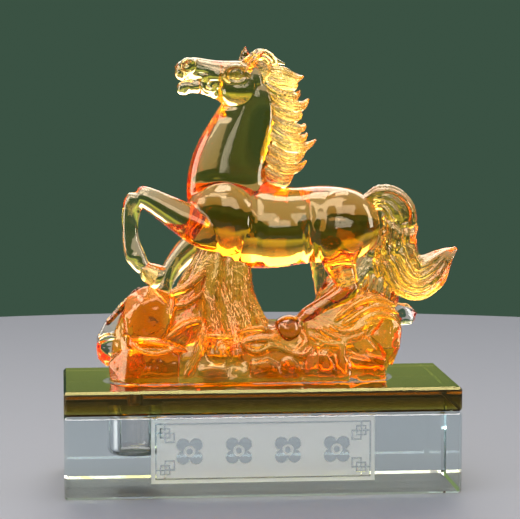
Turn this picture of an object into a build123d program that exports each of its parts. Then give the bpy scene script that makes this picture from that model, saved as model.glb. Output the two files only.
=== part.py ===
from build123d import *

import os

# A cast crystal glass horse on rocks, bonded to an amber plate and a clear block.
# The block holds a scent well, which a knurled stopper closes behind the rocks.
# Millimetres, +Z up, origin at the middle of the block's underside, -Y is the front.

# --- Base ------------------------------------------------------------------
BASE_LENGTH = 120.0
BASE_DEPTH = 50.0
BLOCK_HEIGHT = 25.0
PLATE_HEIGHT = 7.5
EDGE_CHAMFER = 0.8
BOND = 0.1  # thickness of each film of clear glass adhesive

PLATE_BOTTOM = BLOCK_HEIGHT + BOND
PLATE_TOP = PLATE_BOTTOM + PLATE_HEIGHT
CASTING_BOTTOM = PLATE_TOP + BOND

# --- Scent well and its stopper ----------------------------------------------
WELL_X = -38.0
WELL_Y = 13.5
WELL_RADIUS = 8.6
WELL_FLOOR = 9.0
WELL_FLOOR_FILLET = 2.5
NECK_RADIUS = 2.45
STEM_RADIUS = 2.4
STEM_DEPTH = 3.0  # how far the stem reaches down into the neck
GASKET_RADIUS = 4.3
GASKET_HEIGHT = 0.6
FLANGE_RADIUS = 3.6
FLANGE_HEIGHT = 1.0
SPIGOT_RADIUS = 2.0
SPIGOT_HEIGHT = 1.8
VENT_RADIUS = 0.5
CAP_RADIUS = 4.75
CAP_HEIGHT = 6.2
CAP_CHAMFER = 1.2
CAP_CLEARANCE = 0.05
SPIGOT_END_GAP = 0.2  # air left above the spigot inside the cap
KNURL_COUNT = 24
KNURL_RADIUS = 0.35
KNURL_START = 0.6  # plain band under the grooves
KNURL_LENGTH = 3.7

# --- Etched panel on the front of the block ----------------------------------
PANEL_X = -0.4
PANEL_Z = 14.35
PANEL_LENGTH = 67.4
PANEL_HEIGHT = 19.5
ETCH_DEPTH = 0.15
LINE_INSET = 1.4
LINE_WIDTH = 0.4
FRAME_LENGTH = PANEL_LENGTH - 2 * LINE_INSET
FRAME_HEIGHT = PANEL_HEIGHT - 2 * LINE_INSET
KNOT_SIZE = 2.7
KNOT_INSETS = (1.35, 2.75, 4.15)  # how far in from the frame's corner each loop is centred
ROSETTE_COUNT = 4
ROSETTE_PITCH = 14.8
ROSETTE_PETALS = 4
PETAL_REACH = 2.75  # from the rosette's centre to a petal's centre
PETAL_RADIUS = 2.0
ROSETTE_RING_RADIUS = 1.7
ROSETTE_EYE_RADIUS = 0.95

# --- Rock foot ------------------------------------------------------------------
PLINTH_HEIGHT = 1.8
ROCK_BASE = CASTING_BOTTOM + PLINTH_HEIGHT
PLINTH_OUTLINE = (
    (-46.5, -8.0), (-41.0, -12.5), (-27.0, -14.0), (-8.0, -13.5), (10.0, -14.0),
    (27.0, -13.5), (38.0, -11.0), (41.5, -4.0), (41.0, 5.0), (36.0, 11.0),
    (22.0, 13.5), (4.0, 14.0), (-14.0, 13.5), (-26.0, 12.0), (-32.0, 7.2),
    (-38.0, 5.8), (-44.0, 5.4), (-47.0, 1.0),
)

# --- Horse: each limb is a run of oval sections ----------------------------------
# One section is (x, y, z, half width across the horse, half thickness along its side).
TRUNK = (
    (-21.5, 0.0, 83.0, 3.5, 4.5), (-18.0, 0.0, 82.5, 7.5, 9.0), (-12.0, 0.0, 81.0, 9.8, 12.0),
    (-3.0, 0.0, 79.5, 10.8, 13.6), (6.0, 0.0, 79.0, 10.8, 12.6), (14.0, 0.0, 79.5, 10.2, 12.0),
    (22.0, 0.0, 80.0, 10.6, 12.3), (30.0, 0.0, 79.5, 10.4, 11.0), (35.5, 0.0, 79.5, 7.5, 7.5),
    (38.0, 0.0, 79.5, 3.0, 3.0),
)
NECK = (
    (-8.5, 0.0, 84.0, 8.8, 12.6), (-9.0, 0.0, 94.0, 7.6, 12.6), (-7.4, 0.0, 102.0, 6.6, 10.8),
    (-5.0, 0.0, 109.0, 5.8, 9.2), (-3.3, 0.0, 116.0, 5.1, 7.8), (-1.8, 0.0, 124.5, 3.6, 4.6),
)
HEAD = (
    (1.5, 0.0, 124.0, 3.8, 4.5), (-3.0, 0.0, 123.2, 4.8, 7.4), (-8.0, 0.0, 123.0, 5.0, 7.5),
    (-12.5, 0.0, 124.6, 4.0, 5.8), (-17.5, 0.0, 125.8, 3.3, 4.9), (-21.5, 0.0, 125.4, 3.3, 4.6),
    (-24.5, 0.0, 125.0, 2.3, 3.0),
)
MOUTH_HALF_WIDTH = 6.0
MOUTH = ((-26.0, 125.1), (-26.0, 124.1), (-20.0, 124.5))
# A leg is several runs, which meet at a round joint such as the knee or the hock.
FORELEG_NEAR = (
    ((-14.0, -6.0, 76.5, 5.2, 5.4), (-24.0, -6.5, 82.5, 4.4, 4.8), (-37.0, -6.5, 89.8, 3.1, 3.2)),
    ((-37.0, -6.5, 89.8, 3.1, 3.2), (-39.2, -6.5, 83.0, 2.4, 2.7), (-38.4, -6.5, 71.8, 2.8, 3.1)),
    ((-38.4, -6.5, 71.8, 2.8, 3.1), (-35.8, -6.5, 68.4, 2.3, 2.4), (-30.4, -6.5, 63.4, 3.8, 4.0)),
)
FORELEG_FAR = (
    ((-15.0, 5.5, 76.0, 5.0, 5.0), (-22.0, 6.0, 70.8, 3.5, 3.7), (-28.0, 6.0, 63.0, 2.8, 3.0)),
    ((-28.0, 6.0, 63.0, 2.8, 3.0), (-29.5, 6.0, 59.5, 3.0, 3.1), (-30.0, 6.0, 56.0, 3.4, 3.4)),
)
HINDLEG_NEAR = (
    ((27.0, -5.5, 84.0, 4.5, 8.0), (25.0, -7.2, 74.0, 4.4, 6.6), (28.6, -7.4, 61.6, 3.1, 3.4)),
    ((28.6, -7.4, 61.6, 3.1, 3.4), (22.5, -7.4, 57.6, 2.5, 2.7), (15.4, -7.4, 53.4, 2.8, 3.0)),
    ((15.4, -7.4, 53.4, 2.8, 3.0), (12.2, -7.4, 50.4, 2.5, 2.7), (8.5, -7.4, 47.0, 3.4, 3.6)),
)
HINDLEG_FAR = (
    (24.0, 5.5, 82.0, 4.5, 7.0), (20.5, 7.0, 71.0, 4.2, 5.2), (19.5, 7.2, 62.0, 3.0, 3.4),
    (19.8, 7.2, 56.0, 2.8, 3.0), (19.0, 7.2, 49.5, 3.2, 3.4),
)
TAIL = (
    (35.5, 0.0, 87.4, 3.4, 2.8), (40.0, 0.0, 86.0, 5.0, 4.4), (43.0, 0.0, 80.0, 5.5, 4.9),
    (43.2, 0.0, 73.0, 6.0, 5.4), (45.2, 0.0, 66.0, 6.0, 6.8), (50.6, 0.0, 64.0, 5.0, 7.4),
    (55.4, 0.0, 67.6, 4.0, 5.0), (59.4, 0.0, 71.2, 2.6, 2.6), (62.6, 0.0, 72.6, 1.0, 0.8),
)
EAR_FAR = ((-3.4, 3.0, 128.6, 1.6, 2.0), (-3.2, 3.3, 132.0, 1.2, 1.5), (-3.2, 3.5, 135.2, 0.3, 0.4))
EAR_NEAR = ((-1.6, -3.2, 127.6, 1.6, 2.0), (0.2, -3.8, 131.0, 1.3, 1.7), (2.2, -4.0, 133.8, 0.4, 0.5))
FORELOCK = (
    (-4.5, 0.0, 129.2, 2.2, 1.6), (-0.5, 0.0, 131.2, 2.6, 2.2), (3.6, 0.0, 130.6, 2.2, 2.4),
    (5.4, 0.0, 127.6, 1.6, 2.0),
)
SPRAY = (
    (-11.0, 0.0, 76.0, 5.0, 5.0), (-13.5, 0.0, 70.0, 6.5, 7.6), (-14.0, 0.0, 62.0, 7.6, 11.4),
    (-13.5, 0.0, 53.0, 8.0, 13.2), (-11.5, 0.0, 44.0, 8.5, 14.0),
)

# Side view of the mane: its crest edge from withers to poll, then the lock tips going down.
MANE_CREST = ((2.0, 92.8), (2.0, 101.0), (3.2, 109.0), (3.2, 117.0), (1.5, 124.0), (0.5, 130.5))
MANE_TIPS = (
    (5.6, 130.2), (10.2, 128.8), (14.4, 125.9), (12.0, 121.6), (15.8, 118.6), (14.0, 115.4),
    (16.6, 111.2), (18.2, 106.4), (15.2, 103.2), (15.2, 100.4), (11.0, 97.2), (10.8, 94.2),
)
MANE_HALF_WIDTH = 4.2
MANE_TAPER = 14

# --- Rocks: footprint, height, draft, and the slanted faces broken off each one --------
# One broken face is (a point on it, the direction that it faces).
ROCKS = {
    "rock_left": (
        ((-46.2, -6.0), (-41.0, -11.6), (-30.0, -13.2), (-24.0, -12.0), (-24.0, 7.0), (-44.0, 6.6)),
        64.6, 2,
        (
            ((-36.0, 0.0, 61.8), (-0.32, -0.1, 1.0)), ((-44.5, 0.0, 53.0), (-1.0, -0.15, 0.75)),
            ((-35.0, -9.5, 58.0), (-0.15, -1.0, 0.8)), ((-26.0, 0.0, 62.8), (0.5, 0.0, 1.0)),
            ((-43.5, -8.5, 45.0), (-1.0, -1.0, 0.4)),
        ),
    ),
    "rock_mid_left": (
        ((-24.0, -12.2), (-13.0, -13.2), (-5.0, -12.4), (-4.0, 12.6), (-24.0, 11.6)),
        66.0, 3,
        (
            ((-16.0, -6.0, 60.0), (-0.1, -0.8, 1.0)), ((-16.0, -10.8, 47.0), (0.1, -1.0, 0.45)),
            ((-16.0, 8.0, 56.0), (-0.1, 1.0, 0.9)), ((-4.6, 0.0, 57.0), (1.0, 0.0, 0.4)),
        ),
    ),
    "rock_mid": (
        ((-5.0, -12.6), (4.0, -13.4), (14.0, -12.8), (14.0, 13.0), (-4.0, 13.0)),
        52.0, 3,
        (
            ((4.0, 0.0, 47.4), (-0.12, -0.15, 1.0)), ((2.0, -11.4, 42.0), (-0.1, -1.0, 0.5)),
            ((6.0, 10.0, 43.0), (0.0, 1.0, 0.6)),
        ),
    ),
    "rock_right": (
        ((14.0, -12.8), (27.0, -12.8), (37.0, -10.4), (41.0, -3.0), (40.4, 5.0), (34.0, 10.6),
         (14.0, 12.8)),
        62.0, -3,
        (
            ((36.0, 0.0, 61.2), (0.1, -0.1, 1.0)), ((20.0, 0.0, 55.0), (-0.62, -0.1, 1.0)),
            ((28.0, -10.4, 52.0), (-0.1, -1.0, 0.5)), ((28.0, 10.0, 52.0), (0.1, 1.0, 0.6)),
            ((44.5, 0.0, 56.0), (1.0, 0.0, 0.6)),
        ),
    ),
}
LEFT_BACK_ROCK = (
    (-50.2, -1.0, 42.5), (-49.2, 2.5, 39.0), (-47.0, -3.0, 37.2), (-49.0, -1.5, 46.5), (-48.2, 4.0, 46.0),
    (-46.6, -4.0, 49.4), (-44.0, 5.6, 50.2), (-42.0, 2.0, 51.8), (-42.0, -4.0, 40.0), (-42.0, 5.8, 38.0),
)
RIGHT_TIP_ROCK = (
    (50.4, -1.0, 52.6), (50.2, 1.5, 48.6), (49.0, 4.5, 50.0), (48.4, -4.4, 49.4), (46.8, 0.0, 55.6),
    (46.0, -5.0, 53.6), (46.2, 5.2, 53.8), (46.0, 2.0, 45.6), (39.0, -5.0, 47.0), (39.0, 5.5, 47.0),
    (39.0, -4.5, 57.0), (39.0, 4.5, 57.0),
)


def cut_back(neighbours):
    """Inside a part: cut it back from the pieces it meets and keep its one main solid."""
    for neighbour in neighbours:
        add(neighbour.part, mode=Mode.SUBTRACT)
    crumbs = solids().sort_by(SortBy.VOLUME)[:-1]
    if crumbs:
        add(crumbs, mode=Mode.SUBTRACT)


def limb(*runs, neighbours=()):
    """A rounded limb: each run is a smooth skin through oval sections set square to its path."""
    with BuildPart() as shape:
        for run in runs:
            centres = [Vector(*station[:3]) for station in run]
            last = len(run) - 1
            for index, (x, y, z, half_width, half_thickness) in enumerate(run):
                heading = centres[min(index + 1, last)] - centres[max(index - 1, 0)]
                section = Plane(origin=(x, y, z), x_dir=(0, 1, 0), z_dir=heading)
                with BuildSketch(section):
                    Ellipse(half_width, half_thickness)
            loft()
        for run in runs[1:]:
            x, y, z, half_width, half_thickness = run[0]
            with Locations((x, y, z)):
                Sphere(max(half_width, half_thickness))
        cut_back(neighbours)
    return shape


def rock(outline, top, draft_angle, faces, neighbours=()):
    """A boulder: a drafted prism on its footprint with slanted faces broken off it."""
    with BuildPart() as shape:
        with BuildSketch(Plane.XY.offset(ROCK_BASE)):
            with BuildLine():
                Polyline(*outline, close=True)
            make_face()
        extrude(amount=top - ROCK_BASE, taper=draft_angle)
        for point, normal in faces:
            split(bisect_by=Plane(origin=point, z_dir=normal), keep=Keep.BOTTOM)
        cut_back(neighbours)
    return shape


def unetched_loop(x, y, length, height):
    """Inside a sketch: take out four thin bars that make a rectangular line about a centre."""
    with Locations((x, y - height / 2), (x, y + height / 2)):
        Rectangle(length + LINE_WIDTH, LINE_WIDTH, mode=Mode.SUBTRACT)
    with Locations((x - length / 2, y), (x + length / 2, y)):
        Rectangle(LINE_WIDTH, height + LINE_WIDTH, mode=Mode.SUBTRACT)


def save(piece, name):
    """Label a finished piece and write it out as one STEP file."""
    piece.part.label = name
    export_step(piece.part, f"parts/{name}.step")


os.makedirs("parts", exist_ok=True)

# --- Clear block with the scent well and the etched panel ---------------------------
with BuildPart() as base_block:
    Box(BASE_LENGTH, BASE_DEPTH, BLOCK_HEIGHT, align=(Align.CENTER, Align.CENTER, Align.MIN))
    chamfer(base_block.edges(), EDGE_CHAMFER)
    with BuildSketch(Plane.XY.offset(BLOCK_HEIGHT)):
        with Locations((WELL_X, WELL_Y)):
            Circle(WELL_RADIUS)
    extrude(amount=WELL_FLOOR - BLOCK_HEIGHT, mode=Mode.SUBTRACT)
    well_floor = base_block.edges().filter_by(GeomType.CIRCLE).group_by(Axis.Z)[0]
    fillet(well_floor, WELL_FLOOR_FILLET)
    front = Plane(origin=(PANEL_X, -BASE_DEPTH / 2, PANEL_Z), x_dir=(1, 0, 0), z_dir=(0, -1, 0))
    with BuildSketch(front):
        Rectangle(PANEL_LENGTH, PANEL_HEIGHT)
        # A frame line with square loops knotted through its corners stays unetched.
        unetched_loop(0, 0, FRAME_LENGTH, FRAME_HEIGHT)
        for side in (-1, 1):
            for end in (-1, 1):
                for inset in KNOT_INSETS:
                    knot_x = side * (FRAME_LENGTH / 2 - inset)
                    knot_z = end * (FRAME_HEIGHT / 2 - inset)
                    unetched_loop(knot_x, knot_z, KNOT_SIZE, KNOT_SIZE)
        # Four plain flower rosettes along the middle stay unetched too.
        with GridLocations(ROSETTE_PITCH, 1, ROSETTE_COUNT, 1):
            with PolarLocations(PETAL_REACH, ROSETTE_PETALS, start_angle=45):
                Circle(PETAL_RADIUS, mode=Mode.SUBTRACT)
            Circle(ROSETTE_RING_RADIUS)
            Circle(ROSETTE_EYE_RADIUS, mode=Mode.SUBTRACT)
    extrude(amount=-ETCH_DEPTH, mode=Mode.SUBTRACT)

# --- Amber plate and the two adhesive films ------------------------------------------
with BuildPart() as amber_plate:
    with BuildSketch(Plane.XY.offset(PLATE_BOTTOM)):
        Rectangle(BASE_LENGTH, BASE_DEPTH)
    extrude(amount=PLATE_HEIGHT)
    chamfer(amber_plate.edges(), EDGE_CHAMFER)
    with BuildSketch(Plane.XY.offset(PLATE_BOTTOM)):
        with Locations((WELL_X, WELL_Y)):
            Circle(NECK_RADIUS)
    extrude(amount=PLATE_HEIGHT, mode=Mode.SUBTRACT)

with BuildPart() as plate_bond:
    with BuildSketch(Plane.XY.offset(BLOCK_HEIGHT)):
        Rectangle(BASE_LENGTH - 2 * EDGE_CHAMFER, BASE_DEPTH - 2 * EDGE_CHAMFER)
        with Locations((WELL_X, WELL_Y)):
            Circle(WELL_RADIUS, mode=Mode.SUBTRACT)
    extrude(amount=BOND)

with BuildPart() as casting_bond:
    with BuildSketch(Plane.XY.offset(PLATE_TOP)):
        with BuildLine():
            Spline(*PLINTH_OUTLINE, periodic=True)
        make_face()
    extrude(amount=BOND)

with BuildPart() as rock_plinth:
    with BuildSketch(Plane.XY.offset(CASTING_BOTTOM)):
        with BuildLine():
            Spline(*PLINTH_OUTLINE, periodic=True)
        make_face()
    extrude(amount=PLINTH_HEIGHT)

# --- Stopper: gasket, plug and knurled cap, which lift out together ---------------------
GASKET_TOP = PLATE_TOP + GASKET_HEIGHT
FLANGE_TOP = GASKET_TOP + FLANGE_HEIGHT
SPIGOT_TOP = FLANGE_TOP + SPIGOT_HEIGHT
CAP_TOP = GASKET_TOP + CAP_HEIGHT


def stopper_disc(radius, bottom, top, mode=Mode.ADD):
    """Inside a part: a round step of the stopper about the well's axis."""
    with Locations((WELL_X, WELL_Y, bottom)):
        Cylinder(radius, top - bottom, align=(Align.CENTER, Align.CENTER, Align.MIN), mode=mode)


with BuildPart() as stopper_gasket:
    stopper_disc(GASKET_RADIUS, PLATE_TOP, GASKET_TOP)
    stopper_disc(NECK_RADIUS, PLATE_TOP, GASKET_TOP, Mode.SUBTRACT)

with BuildPart() as stopper_plug:
    stopper_disc(STEM_RADIUS, PLATE_TOP - STEM_DEPTH, GASKET_TOP)
    stopper_disc(FLANGE_RADIUS, GASKET_TOP, FLANGE_TOP)
    stopper_disc(SPIGOT_RADIUS, FLANGE_TOP, SPIGOT_TOP)
    stopper_disc(VENT_RADIUS, PLATE_TOP - STEM_DEPTH, SPIGOT_TOP, Mode.SUBTRACT)

with BuildPart() as stopper_cap:
    stopper_disc(CAP_RADIUS, GASKET_TOP, CAP_TOP)
    chamfer(stopper_cap.edges().group_by(Axis.Z)[-1], CAP_CHAMFER)
    stopper_disc(FLANGE_RADIUS + CAP_CLEARANCE, GASKET_TOP, FLANGE_TOP + CAP_CLEARANCE, Mode.SUBTRACT)
    stopper_disc(SPIGOT_RADIUS + CAP_CLEARANCE, FLANGE_TOP, SPIGOT_TOP + SPIGOT_END_GAP, Mode.SUBTRACT)
    stopper_disc(VENT_RADIUS, SPIGOT_TOP, CAP_TOP, Mode.SUBTRACT)
    with BuildSketch(Plane(origin=(WELL_X, WELL_Y, GASKET_TOP + KNURL_START))):
        with PolarLocations(CAP_RADIUS, KNURL_COUNT):
            Circle(KNURL_RADIUS)
    extrude(amount=KNURL_LENGTH, mode=Mode.SUBTRACT)

# --- Horse ---------------------------------------------------------------------------
horse_trunk = limb(TRUNK)

with BuildPart() as horse_head:
    add(limb(HEAD).part)
    with BuildSketch(Plane.XZ):
        with BuildLine():
            Polyline(*MOUTH, close=True)
        make_face()
    extrude(amount=MOUTH_HALF_WIDTH, both=True, mode=Mode.SUBTRACT)

horse_neck = limb(NECK, neighbours=(horse_trunk, horse_head))
foreleg_near = limb(*FORELEG_NEAR, neighbours=(horse_trunk, horse_neck))
foreleg_far = limb(*FORELEG_FAR, neighbours=(horse_trunk, horse_neck))
hindleg_near = limb(*HINDLEG_NEAR, neighbours=(horse_trunk,))
hindleg_far = limb(HINDLEG_FAR, neighbours=(horse_trunk, hindleg_near))
tail = limb(TAIL, neighbours=(horse_trunk, hindleg_near, hindleg_far))
ear_far = limb(EAR_FAR, neighbours=(horse_head,))
ear_near = limb(EAR_NEAR, neighbours=(horse_head,))
forelock = limb(FORELOCK, neighbours=(horse_head, ear_far, ear_near))

with BuildPart() as mane:
    with BuildSketch(Plane.XZ):
        with BuildLine():
            Polyline(*MANE_CREST, *MANE_TIPS, close=True)
        make_face()
    extrude(amount=MANE_HALF_WIDTH, both=True, taper=MANE_TAPER)
    cut_back((horse_trunk, horse_neck, horse_head, ear_near, ear_far, forelock))

spray = limb(SPRAY, neighbours=(horse_trunk, foreleg_near, foreleg_far))

# --- Rocks -----------------------------------------------------------------------------
legs = (foreleg_near, foreleg_far, hindleg_near, hindleg_far)
rocks = {}
for rock_name, (outline, top, draft_angle, faces) in ROCKS.items():
    rocks[rock_name] = rock(outline, top, draft_angle, faces, (*legs, spray, tail, *rocks.values()))

with BuildPart() as rock_left_back:
    ConvexPolyhedron(LEFT_BACK_ROCK)
    cut_back((rocks["rock_left"],))

with BuildPart() as rock_right_tip:
    ConvexPolyhedron(RIGHT_TIP_ROCK)
    cut_back((rocks["rock_right"], tail))

pieces = {
    "base_block": base_block,
    "plate_bond": plate_bond,
    "amber_plate": amber_plate,
    "casting_bond": casting_bond,
    "stopper_gasket": stopper_gasket,
    "stopper_plug": stopper_plug,
    "stopper_cap": stopper_cap,
    "rock_plinth": rock_plinth,
    **rocks,
    "rock_left_back": rock_left_back,
    "rock_right_tip": rock_right_tip,
    "spray": spray,
    "horse_trunk": horse_trunk,
    "horse_neck": horse_neck,
    "horse_head": horse_head,
    "ear_near": ear_near,
    "ear_far": ear_far,
    "forelock": forelock,
    "mane": mane,
    "tail": tail,
    "foreleg_near": foreleg_near,
    "foreleg_far": foreleg_far,
    "hindleg_near": hindleg_near,
    "hindleg_far": hindleg_far,
}
for piece_name, piece in pieces.items():
    save(piece, piece_name)
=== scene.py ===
# %% [markdown]
# # A cast crystal horse on a scent base
#
# The object is a desk ornament in three layers of glass. A clear crystal block carries a thin
# amber plate, and a two-tone casting of a rearing horse on rocks is glued on top of the plate. A
# narrow neck in the plate leads down to a scent well in the block. The gold knurled stopper
# behind the rocks that closes it is a guess at how such a well is closed. The hard, machined
# pieces come from the CAD frame and keep their meshes. The casting is organic, so its pieces are
# modelled here and stand in for the CAD's.

# %% Load the frame
import math
import random

import bpy
import numpy as np
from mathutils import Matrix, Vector
from mathutils.bvhtree import BVHTree


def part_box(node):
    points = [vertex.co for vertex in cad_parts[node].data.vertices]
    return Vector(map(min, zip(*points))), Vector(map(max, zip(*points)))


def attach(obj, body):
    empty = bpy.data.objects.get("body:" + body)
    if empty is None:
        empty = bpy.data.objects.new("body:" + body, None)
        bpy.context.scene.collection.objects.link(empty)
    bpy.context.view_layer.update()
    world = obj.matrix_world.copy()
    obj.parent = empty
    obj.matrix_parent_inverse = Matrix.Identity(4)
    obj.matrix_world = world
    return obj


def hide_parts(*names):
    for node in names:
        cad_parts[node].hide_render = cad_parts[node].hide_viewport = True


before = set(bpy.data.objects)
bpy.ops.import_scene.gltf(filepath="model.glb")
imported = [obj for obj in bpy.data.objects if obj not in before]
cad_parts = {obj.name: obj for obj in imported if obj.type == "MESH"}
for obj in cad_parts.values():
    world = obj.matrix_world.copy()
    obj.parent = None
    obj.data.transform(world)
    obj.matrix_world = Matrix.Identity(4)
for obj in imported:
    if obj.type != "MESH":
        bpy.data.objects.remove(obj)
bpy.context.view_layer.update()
MM = 0.001  # the shapes below are given in millimetres, and Blender works in metres
SEED = 7
random.seed(SEED)
scene = bpy.context.scene
plate_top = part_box("amber_plate")[1][2]
block_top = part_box("base_block")[1][2]
block_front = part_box("base_block")[0][1]
print("plate top", round(plate_top, 4), "block top", round(block_top, 4))

# %% [markdown]
# ## Camera
#
# A long lens a little above the figure looks slightly down on it, and a few degrees across it,
# so the plate shows a thin strip of its top and the base shows its far right edge. A camera is
# easiest to aim with two angles: how far it looks down, and how far it turns from straight ahead.

# %% Camera
CAMERA_PLACE = (-0.06009, -0.67334, 0.13836)
CAMERA_DOWN = 0.1018
CAMERA_TURN = 0.0902
LENS_MM = 152.3

bpy.ops.object.select_all(action="DESELECT")
bpy.ops.object.camera_add(
    location=CAMERA_PLACE, rotation=(math.pi / 2 - CAMERA_DOWN, 0.0, -CAMERA_TURN)
)
camera = bpy.context.object
camera.name = "camera"
camera.data.sensor_width = 36.0
camera.data.lens = LENS_MM
camera.data.clip_start = 0.01
scene.camera = camera
print("camera at", [round(v, 3) for v in camera.location])

# %% [markdown]
# ## Floor, light and backdrop
#
# Glass has almost no colour of its own at its surface: it shows what is around it. So the studio
# matters as much as the material. The floor is dark grey-blue paint under strong lamps: it looks
# pale, and throws little light up into the glass. A large soft lamp above and in front gives the
# broad pale reflections on the upper surfaces, and a second one behind makes the thin parts glow.
# A darker, plain backdrop is what the middle of the body bends into view.

# %% Floor and backdrop
FLOOR_RADIUS = 0.42
FLOOR_COLOUR = (0.044, 0.051, 0.070)
BACKDROP = (0.034, 0.066, 0.044)
# The sky by height, from the horizon (0) to overhead (1): colours the glass bends and reflects.
SKY = (
    (0.03, BACKDROP), (0.09, (0.40, 0.51, 0.13)), (0.22, (0.08, 0.11, 0.055)),
    (0.5, (0.85, 0.79, 0.74)),
)
OVERHEAD = (1.3, 1.2, 1.14)


def plain_material(name, colour, roughness):
    """A simple painted surface, for the stage only."""
    material = bpy.data.materials.new(name)
    material.use_nodes = True
    shader = material.node_tree.nodes["Principled BSDF"]
    shader.inputs["Base Color"].default_value = (*colour, 1.0)
    shader.inputs["Roughness"].default_value = roughness
    return material


bpy.ops.mesh.primitive_circle_add(vertices=96, radius=FLOOR_RADIUS, fill_type="NGON")
floor = bpy.context.object
floor.name = "studio_floor"
floor.data.materials.append(plain_material("pale_floor", FLOOR_COLOUR, 0.55))

world = bpy.data.worlds.new("soft_studio")
scene.world = world
world.use_nodes = True
world_nodes = world.node_tree.nodes
world_links = world.node_tree.links
background = world_nodes["Background"]
coordinates = world_nodes.new("ShaderNodeTexCoord")
split_axes = world_nodes.new("ShaderNodeSeparateXYZ")
sky_ramp = world_nodes.new("ShaderNodeValToRGB")
world_links.new(coordinates.outputs["Generated"], split_axes.inputs["Vector"])
world_links.new(split_axes.outputs["Z"], sky_ramp.inputs["Fac"])
world_links.new(sky_ramp.outputs["Color"], background.inputs["Color"])
sky_ramp.color_ramp.elements[0].position = 0.0
sky_ramp.color_ramp.elements[0].color = (*BACKDROP, 1.0)
sky_ramp.color_ramp.elements[1].position = 1.0
sky_ramp.color_ramp.elements[1].color = (*OVERHEAD, 1.0)
for height, colour in SKY:
    stop = sky_ramp.color_ramp.elements.new(height)
    stop.color = (*colour, 1.0)
background.inputs["Strength"].default_value = 1.0


def soft_lamp(name, place, target, size, power, colour=(1.0, 1.0, 1.0)):
    """A rectangular soft box at a place, aimed at a target."""
    bpy.ops.object.light_add(type="AREA", location=place)
    lamp = bpy.context.object
    lamp.name = name
    lamp.data.shape = "RECTANGLE"
    lamp.data.size, lamp.data.size_y = size
    lamp.data.energy = power
    lamp.data.color = colour
    aim = Vector(target) - Vector(place)
    lamp.rotation_euler = aim.to_track_quat("-Z", "Y").to_euler()
    return lamp


soft_lamp("key_box", (-0.24, -0.36, 0.56), (0.0, 0.0, 0.07), (0.7, 0.34), 5.2, (1.0, 0.92, 0.86))
soft_lamp("back_box", (0.08, 0.46, 0.56), (0.0, 0.0, 0.06), (1.0, 0.5), 7.0, (1.0, 0.94, 0.84))
soft_lamp("top_box", (0.0, 0.02, 0.95), (0.0, 0.0, 0.06), (0.5, 0.5), 7.4, (1.0, 0.93, 0.90))
soft_lamp("front_fill", (0.1, -0.75, 0.42), (0.0, 0.0, 0.05), (0.6, 0.3), 2.4)
soft_lamp("side_strip", (-0.5, 0.02, 0.16), (0.0, 0.0, 0.08), (0.26, 0.44), 2.6, (1.0, 0.93, 0.88))
soft_lamp("right_strip", (0.5, -0.12, 0.2), (0.0, 0.0, 0.08), (0.12, 0.4), 1.4)

# %% [markdown]
# Light has to pass through many glass walls here, in at one face and out at another, so Cycles
# is allowed more bounces than it uses for plain scenes. With too few, deep glass turns black.

# %% Light bounces for deep glass
scene.cycles.max_bounces = 24
scene.cycles.transmission_bounces = 24
scene.cycles.glossy_bounces = 8
scene.cycles.transparent_max_bounces = 48
scene.cycles.sample_clamp_indirect = 8.0
scene.view_settings.view_transform = "Standard"
scene.view_settings.exposure = 0.35

# %% [markdown]
# ## Tools of the trade
#
# A few small helpers keep the modelling short. Each is what a person would do by hand: deselect
# everything, work in edit mode, add a modifier and apply it, or join some rough pieces into one.

# %% Helpers for working by hand
def deselect():
    """Nothing selected, in object mode, because the frame's nodes come in selected."""
    if bpy.context.object and bpy.context.object.mode != "OBJECT":
        bpy.ops.object.mode_set(mode="OBJECT")
    bpy.ops.object.select_all(action="DESELECT")


def pick(*objects):
    """Select these objects only, the first one active."""
    deselect()
    for item in objects:
        item.select_set(True)
    bpy.context.view_layer.objects.active = objects[0]


def settle(item):
    """Put an object's place, turn and size into its mesh, so that it sits at the origin."""
    pick(item)
    bpy.ops.object.transform_apply(location=True, rotation=True, scale=True)


def modify(item, kind, **settings):
    """Add a modifier with its settings and apply it."""
    pick(item)
    modifier = item.modifiers.new(kind.title(), kind)
    for setting, value in settings.items():
        setattr(modifier, setting, value)
    bpy.ops.object.modifier_apply(modifier=modifier.name)


def join(name, pieces):
    """Join pieces into one object with its place in its mesh."""
    pick(*pieces)
    bpy.ops.object.join()
    whole = bpy.context.object
    whole.name = name
    whole.data.name = name
    settle(whole)
    return whole


def fuse(item, voxel_mm, smooth_steps, smooth_factor=0.5):
    """Fuse overlapping rough pieces into one skin, as clay is pressed together, then smooth it."""
    modify(item, "REMESH", mode="VOXEL", voxel_size=voxel_mm * MM)
    modify(item, "SMOOTH", factor=smooth_factor, iterations=smooth_steps)


def points_of(item):
    """The vertices of a mesh as an array."""
    points = np.empty(len(item.data.vertices) * 3)
    item.data.vertices.foreach_get("co", points)
    return points.reshape(-1, 3)


def normals_of(item):
    """The vertex normals of a mesh as an array."""
    normals = np.empty(len(item.data.vertices) * 3)
    item.data.vertex_normals.foreach_get("vector", normals)
    return normals.reshape(-1, 3)


def set_points(item, points):
    """Write an array of vertices back."""
    item.data.vertices.foreach_set("co", points.ravel())
    item.data.update()


def falloff(points, centre, reach):
    """A soft brush: 1 at its centre, 0 beyond its reach, which is one radius or three."""
    offset = (points - np.array(centre) * MM) / (np.array(reach) * MM)
    distance = np.clip(np.sqrt((offset**2).sum(axis=1)), 0.0, 1.0)
    return (1.0 - distance**2) ** 2


def sculpt(item, dabs):
    """Push the skin along its normals under each dab: (centre, reach, height), negative to dent."""
    points = points_of(item)
    for centre, reach, height in dabs:
        points = points + normals_of(item) * (falloff(points, centre, reach) * height * MM)[
            :, None,
        ]
        set_points(item, points)


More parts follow.
